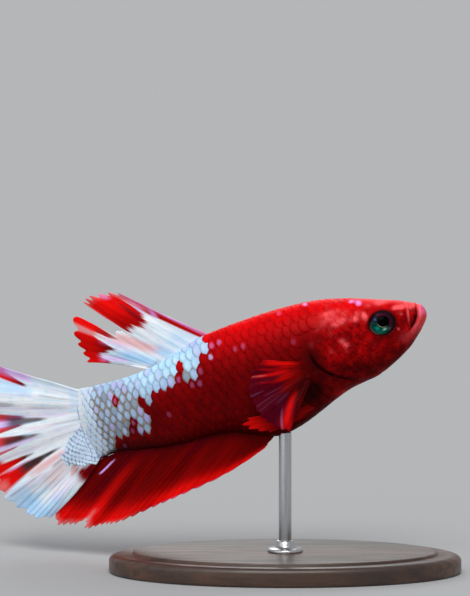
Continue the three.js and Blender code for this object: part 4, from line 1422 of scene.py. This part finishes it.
def make_web(name, place, marks, rays, cells, finish, notch, torn=no_tear,
             thick=WEB_THICKNESS, sunk=0.0):
    """The closed web of a fin: thin, thinner at its margin, and notched between its rays. Its
    root is sunk by a share of its rays' length."""
    across, along = cells
    ray = np.linspace(0, 1, across + 1)
    share = np.linspace(-sunk, 1, along + 1)
    u, v = np.meshgrid(ray, share, indexing="ij")
    on_ray = comb(u, rays)
    reach = margin(u, rays, notch, torn)
    s, h, l = place(u, v * reach)
    half = thick / 2 * (1 - 0.7 * v) * (0.8 + 0.2 * on_ray)
    half *= ease(0, 0.006, 1.0 - v + 0.002)
    sag = 0.05 * (1 - on_ray) * v
    front = on_fish(s, h, l - half + sag)
    back = on_fish(s, h, l + half + sag)
    rows = np.concatenate([front, back[:, ::-1]], axis=1)
    columns = rows.shape[1]
    faces = grid_faces(across + 1, columns, wrap=True)
    for start, flip in ((0, False), (across * columns, True)):
        for j in range(along):
            quad = (start + j, start + j + 1, start + columns - 2 - j, start + columns - 1 - j)
            faces.append(quad[::-1] if flip else quad)
    web = new_object(name, rows.reshape(-1, 3), faces)
    face_outwards(web)
    both = [np.concatenate([field, field[:, ::-1]], axis=1).ravel() for field in (u, v * reach)]
    keep_marks(web, marks, *both)
    web.data.materials.append(finish)
    return web


def ray_tree():
    """Turns lines into tapering fin rays, each point as thick as its own radius."""
    tree, given = new_tree("draw_rays", (
        ("Sides", "Int"), ("Girth", "Float"), ("Finish", "Material"),
    ))
    lines = add(tree, "GeometryNodeMeshToCurve", {"Mesh": given["Geometry"]}).outputs[0]
    radius = add(tree, "GeometryNodeInputNamedAttribute", {"Name": "radius_mm"},
                 data_type="FLOAT").outputs[0]
    radius = add(tree, "ShaderNodeMath", {0: radius, 1: given["Girth"]},
                 operation="MULTIPLY").outputs[0]
    ring = add(tree, "GeometryNodeCurvePrimitiveCircle",
               {"Resolution": given["Sides"], "Radius": 1.0}).outputs[0]
    tubes = add(tree, "GeometryNodeCurveToMesh", {
        "Curve": lines, "Profile Curve": ring, "Scale": radius, "Fill Caps": True,
    }).outputs[0]
    return end_tree(tree, tubes, given["Finish"])


FORKS = (0, 0.42, 0.72, 1)  # the shares of its length at which a ray starts, forks and ends
FORK_SPREAD = 0.24  # how far apart a ray's last branches are, where 1 is from ray to ray


def make_rays(name, place, marks, rays, tree, finish, notch, torn, thick):
    """Rays that run from root to margin, each forking in two and in two again."""
    lines = []
    gap = FORK_SPREAD / (rays - 1)
    branches = ([0.0], [-gap, gap], [-1.5 * gap, -0.5 * gap, 0.5 * gap, 1.5 * gap])
    for k in range(rays):
        stem = k / (rays - 1)
        before = [0.0]
        for level, offsets in enumerate(branches):
            start, stop = FORKS[level], FORKS[level + 1]
            for number, offset in enumerate(offsets):
                origin = before[number * len(before) // len(offsets)]
                v = np.linspace(start, stop, 9)
                share = ease(0, 1, (v - start) / (stop - start))
                u = np.clip(stem + origin + (offset - origin) * share, 0, 1)
                if lines and np.array_equal(u, lines[-1][0]):
                    continue  # two branches that run along the fin's edge are one
                radius = thick * (1 - 0.72 * v) * (1, 0.85, 0.7)[level]
                lines.append((u, v, radius))
            before = offsets
    u, v, radius = (np.concatenate([line[part] for line in lines]) for part in range(3))
    v = v * margin(u, rays, notch, torn) * 0.985
    s, h, l = place(u, v)
    points = on_fish(s, h, l)
    count = len(lines[0][0])
    edges = [(line * count + k, line * count + k + 1)
             for line in range(len(lines)) for k in range(count - 1)]
    mesh = bpy.data.meshes.new(f"{name}_lines")
    mesh.from_pydata((points * MM).tolist(), edges, [])
    roots = add_object(f"{name}_lines", mesh)
    store(roots, "radius_mm", radius)
    keep_marks(roots, marks, u, v)
    return grow(name, roots, tree, {"Sides": 6, "Girth": MM, "Finish": finish})


# ---- Scales on the tail fin -----------------------------------------------------------------

# Small scales run out over the root of the tail fin as far as this share of its rays.
TAIL_SCALED_TO = curve_through([
    (0, 0), (0.46, 0), (0.53, 0.12), (0.6, 0.25), (0.68, 0.36), (0.76, 0.34), (0.84, 0.24),
    (0.92, 0.13), (1, 0.06),
])


def make_tail_scales(web, growing):
    """Small scales on both sides of the tail fin's root, smaller the further out they are."""
    pieces = []
    column, row = np.meshgrid(np.arange(15), np.arange(32), indexing="ij")
    staggered = (column + row) % 2 == 0
    every_u = (0.01 + 0.032 * row)[staggered]
    every_v = (0.01 + 0.023 * column)[staggered]
    for number, (label, side) in enumerate(SIDES):
        chance = np.random.default_rng(51 + number)
        keep = every_v * chance.uniform(1.0, 1.35, every_v.shape) < TAIL_SCALED_TO(every_u)
        u, v = every_u[keep], every_v[keep]
        here = on_fish(*caudal_place(u, v))
        ahead = on_fish(*caudal_place(u, v + 0.02)) - here
        below = on_fish(*caudal_place(u + 0.02, v)) - here
        normal = np.cross(below, ahead)
        normal *= side * np.sign((normal * LEFT).sum(axis=1, keepdims=True))
        normal /= np.linalg.norm(normal, axis=1, keepdims=True)
        inside = ease(0, 0.12, TAIL_SCALED_TO(u) - v)
        sizes = (1.08 - 0.5 * v) * (0.8 + 0.2 * inside)
        loose = (0.55 + 0.45 * inside) * (0.5 + 0.5 * ease(0.01, 0.1, v))
        pieces.append(grow_scales(
            f"scales_tail_{label}", here + 0.12 * normal, normal, ahead, TAIL_SCALE, web,
            growing, 41 + number, {
                "size": sizes, "looseness": loose, "veil": 1 + 0 * u,
                "pale": 1.75 - 0.5 * inside, "solid": 0.75 + 0 * u,
                "whiteness": 1 - 0.2 * inside,
                "root_map": np.stack([0.1 + v, 0.25 * side + 0.5 + 0.2 * u, 0 * u], axis=-1),
            }))
    return pieces


# ---- Eyes -----------------------------------------------------------------------------------


def make_eye(name, side, finish):
    """An eyeball seated in its socket, with a bulging pupil in a dished iris."""
    rings, turns = 60, 96
    centre = section(EYE["s"], math.pi / 2, 0)[2] + EYE["stand"] - EYE["depth"]
    forward = math.radians(EYE["forward_deg"])
    polar = np.linspace(0, math.pi, rings + 1)[1:-1]
    turn = np.arange(turns) / turns * TAU
    polar, turn = np.meshgrid(polar, turn, indexing="ij")
    ring = np.sin(polar)
    facing = np.cos(polar)
    front = facing > 0
    dish = 0.09 * bell(ring - 0.68, 0.16) + 0.05 * bell(ring - 0.9, 0.05)
    pupil = np.hypot(ring * np.cos(turn) - PUPIL[0], ring * np.sin(turn) - PUPIL[1])
    bulge = 0.05 * ease(0.41, 0.32, pupil)
    out = EYE["depth"] * facing * 0.97 + np.where(front, bulge - dish, 0) * EYE["depth"]
    along = EYE["half_length"] * EYE_FIT * ring * np.cos(turn)
    up = EYE["half_height"] * EYE_FIT * ring * np.sin(turn)

    def place(along, up, out):
        s = EYE["s"] + along * math.cos(forward) - out * math.sin(forward)
        l = centre + along * math.sin(forward) + out * math.cos(forward)
        return on_fish(s, EYE["h"] + up, side * l)

    poles = [place(np.array(0.0), np.array(0.0), np.array(depth))
             for depth in (EYE["depth"] * 1.02, -EYE["depth"] * 0.97)]
    eye = closed_tube(name, place(along, up, out), poles)

    def keep(label, values, at_front, at_back):
        store(eye, label, np.append(np.ravel(values), [at_front, at_back]))

    degrees = (np.degrees(turn) + 180) % 360 - 180  # 0 tailward, 90 up

    def spot(at_degrees, half_degrees, at_ring, half_ring):
        away = (degrees - at_degrees + 180) % 360 - 180
        return bell(away / half_degrees, 1) * bell(ring - at_ring, half_ring) * front

    keep("ring", np.where(front, ring, 1.0), 0.0, 1.0)
    keep("pupil", np.where(front, pupil, 1.0), 0.1, 1.0)
    keep("turn", np.cos(np.radians(degrees)) + 2 * np.sin(np.radians(degrees)), 0, 0)
    keep("lower", 0.5 + 0.5 * np.cos(np.radians(degrees + 52)), 0.5, 0.5)
    # A painted glint below the pupil.
    keep("glint", spot(-88, 14, 0.48, 0.075), 0, 0)
    keep("teal", spot(-28, 16, 0.53, 0.1) + 0.5 * spot(-60, 20, 0.66, 0.1), 0, 0)
    keep("blue", spot(49, 11, 0.61, 0.08) + 0.4 * spot(20, 12, 0.7, 0.1), 0, 0)
    keep("wine", spot(-174, 32, 0.52, 0.12) + spot(109, 35, 0.66, 0.14), 0, 0)
    # Mauve low in the iris is its own colour; the fainter spot near the top is a painted
    # reflection.
    keep("mauve", spot(-126, 14, 0.6, 0.09) + 0.5 * spot(77, 14, 0.86, 0.06), 0, 0)
    keep("rim", spot(-35, 32, 0.845, 0.03), 0, 0)
    eye.data.materials.append(finish)
    return eye


# ---- Stand ----------------------------------------------------------------------------------


def turned_piece(name, profile, turns, along=1.0, middle=(0, 0)):
    """A solid of revolution about an upright axis, from its profile (radius, height) in mm,
    stretched along X."""
    turn = np.arange(turns) / turns * TAU
    radius, height = np.array(profile, float).T
    inner = radius[1:-1]
    x = inner[:, None] * np.cos(turn) * along + middle[0]
    y = inner[:, None] * np.sin(turn) + middle[1]
    z = np.broadcast_to(height[1:-1, None], x.shape)
    ends = [(*middle, height[0]), (*middle, height[-1])]
    return closed_tube(name, np.stack([x, y, z], axis=-1), ends)


QUARTER_TURN = np.linspace(0, math.pi / 2, 7)


def lower_edge(radius, bottom, size):
    """The rounded edge of a profile, from its underside up to its side."""
    return [(radius - size * (1 - math.sin(a)), bottom + size * (1 - math.cos(a)))
            for a in QUARTER_TURN]


def upper_edge(radius, top, size):
    """The rounded edge of a profile, from its side in to its top."""
    return [(radius - size * (1 - math.cos(a)), top - size * (1 - math.sin(a)))
            for a in QUARTER_TURN]


def rounded(radius, bottom, top, size):
    """The profile of a disc with rounded edges, from its axis round to its axis."""
    rings = [share * (radius - size) for share in (0.35, 0.7, 0.9)]
    under = [(ring, bottom) for ring in rings]
    over = [(ring, top) for ring in reversed(rings)]
    sides = lower_edge(radius, bottom, size) + upper_edge(radius, top, size)
    return [(0, bottom)] + under + sides + over + [(0, top)]


def make_stand():
    """An oval base with eased edges and a shallow step, a rod, and the collar at its foot."""
    low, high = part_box("stand_base")
    length, width, height = ((high[k] - low[k]) / MM for k in range(3))
    rod_low, rod_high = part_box("stand_rod")
    middle = tuple((rod_low[k] + rod_high[k]) / 2 / MM for k in (0, 1))
    rod_radius = (rod_high.x - rod_low.x) / 2 / MM
    rod_top = rod_high.z / MM

    step = 0.34  # a shallow rebate round the top edge
    foot, brow = 0.35, 0.7  # how far the lower and upper edges are rounded
    edge = width / 2
    inner = edge - brow - 0.9
    profile = [(0, 0)] + [(edge * share, 0) for share in (0.3, 0.6, 0.9)]
    profile += lower_edge(edge, 0, foot) + upper_edge(edge, height - step, brow)
    profile += [(inner + 0.08, height - step), (inner, height - step + 0.06)]
    profile += upper_edge(inner, height, step * 0.6)
    profile += [(edge * share, height) for share in (0.75, 0.5, 0.25)] + [(0, height)]
    base = turned_piece("stand_base_wood", profile, 144, along=length / width)
    base.data.materials.append(wood_finish())

    steel = steel_finish()
    rod = turned_piece("stand_rod_steel",
                       rounded(rod_radius, height - 0.9, rod_top + 0.25, 0.15), 48,
                       middle=middle)
    rod.data.materials.append(steel)
    collar = turned_piece("stand_collar", [
        (0, height - 0.1), (1.0, height - 0.1), (2.1, height - 0.1), (2.2, height + 0.02),
        (2.2, height + 0.3), (2.1, height + 0.42), (1.7, height + 0.48), (1.35, height + 0.62),
        (1.2, height + 0.9), (1.15, height + 1.3), (1.05, height + 1.4), (0.82, height + 1.42),
        (0, height + 1.42),
    ], 48, middle=middle)
    collar.data.materials.append(steel)
    return base, rod, collar


# ---- Stage ----------------------------------------------------------------------------------


def soft_sun(name, from_direction, strength, spread_deg, colour=(1, 1, 1)):
    """A broad, even lamp far away on the side that from_direction points to."""
    data = bpy.data.lights.new(name, "SUN")
    data.energy = strength
    data.angle = math.radians(spread_deg)
    data.color = colour
    x, y, z = from_direction
    lamp = add_object(name, data)
    lamp.rotation_euler = (math.atan2(math.hypot(x, y), z), 0, math.atan2(x, -y))


def set_stage():
    """A plain pale floor, a pale sky and three soft lamps."""
    world = bpy.data.worlds.new("studio")
    world.use_nodes = True
    sky = world.node_tree.nodes["Background"]
    sky.inputs["Color"].default_value = (0.5, 0.51, 0.52, 1)
    sky.inputs["Strength"].default_value = 0.92
    bpy.context.scene.world = world
    bpy.context.scene.view_settings.view_transform = "Standard"

    reach, level = 9000, -0.02
    corners = [(x * reach, y * reach, level) for x, y in ((-1, -1), (1, -1), (1, 1), (-1, 1))]
    floor = new_object("floor", corners, [(0, 1, 2, 3)])
    look = Finish("floor", Roughness=1.0, Specular_IOR_Level=0.0)
    look.shader.inputs["Base Color"].default_value = (0.428, 0.437, 0.447, 1)
    floor.data.materials.append(look.material)

    soft_sun("key", (-0.05, -0.85, 1.0), 1.9, 35, (1.0, 0.98, 0.95))
    soft_sun("fill", (-0.8, -0.9, 0.35), 0.5, 60, (0.93, 0.96, 1.0))
    soft_sun("rim", (-0.1, 1.0, 0.7), 0.6, 30)


# ---- The whole model ------------------------------------------------------------------------

set_camera()
set_stage()
skin = make_skin()
growing = scale_plate(), scale_tree(), scale_finish()
scales = make_scales(skin, growing)
web_finish = fin_finish("fin_web")
ray_finish = fin_finish("fin_rays", ray=True)
rays_of = ray_tree()

FINS = [
    # name, place, marks, rays, cells, slot, and how it differs from a plain fin
    ("dorsal", dorsal_place, dorsal_marks, 12, (180, 90), "pale_fin",
     {"notch": 0.06, "torn": dorsal_tear, "sunk": 0.07}),
    ("caudal", caudal_place, caudal_marks, 15, (330, 110), "pale_fin", {"notch": 0.035}),
    ("anal", anal_place, anal_marks, 27, (270, 70), "red_fin",
     {"notch": 0.03, "torn": anal_tear, "sunk": 0.07}),
]
for label, side in SIDES:
    FINS.append((f"pectoral_{label}", pectoral_place(side), pectoral_marks, 13, (130, 44),
                 "red_fin", {"notch": 0.03, "thick": 0.14}))
    FINS.append((f"pelvic_{label}", pelvic_place(side), pelvic_marks, 5, (32, 60), "red_fin",
                 {"notch": 0.06, "thick": 0.2}))

for label, place, marks, rays, cells, slot, ways in FINS:
    web = make_web(f"fin_{label}_web", place, marks, rays, cells, web_finish, **ways)
    lines = make_rays(f"fin_{label}_rays", place, marks, rays, rays_of, ray_finish,
                      notch=ways["notch"], torn=ways.get("torn", no_tear),
                      thick=RAY_GIRTH * ways.get("thick", WEB_THICKNESS))
    for piece in (web, lines):
        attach(piece, "root")
        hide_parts(f"fin_{label}")
    if label == "caudal":
        scales += make_tail_scales(web, growing)
bpy.data.objects.remove(growing[0])

iris = eye_finish()
for label, side in SIDES:
    eye = make_eye(f"eyeball_{label}", side, iris)
    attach(eye, "root")
    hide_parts(f"eye_{label}")

for piece in [skin, *scales]:
    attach(piece, "root")
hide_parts("head", "jaw_lower", "gill_cover_right", "gill_cover_left", "trunk",
            "tail_stalk")

base, rod, collar = make_stand()
for piece, slot, nodes in (
    (base, "stand_wood", ["stand_base"]), (rod, "stand_steel", ["stand_rod"]),
    (collar, "stand_steel", ["stand_rod"]),
):
    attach(piece, "root")
    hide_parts(*nodes)
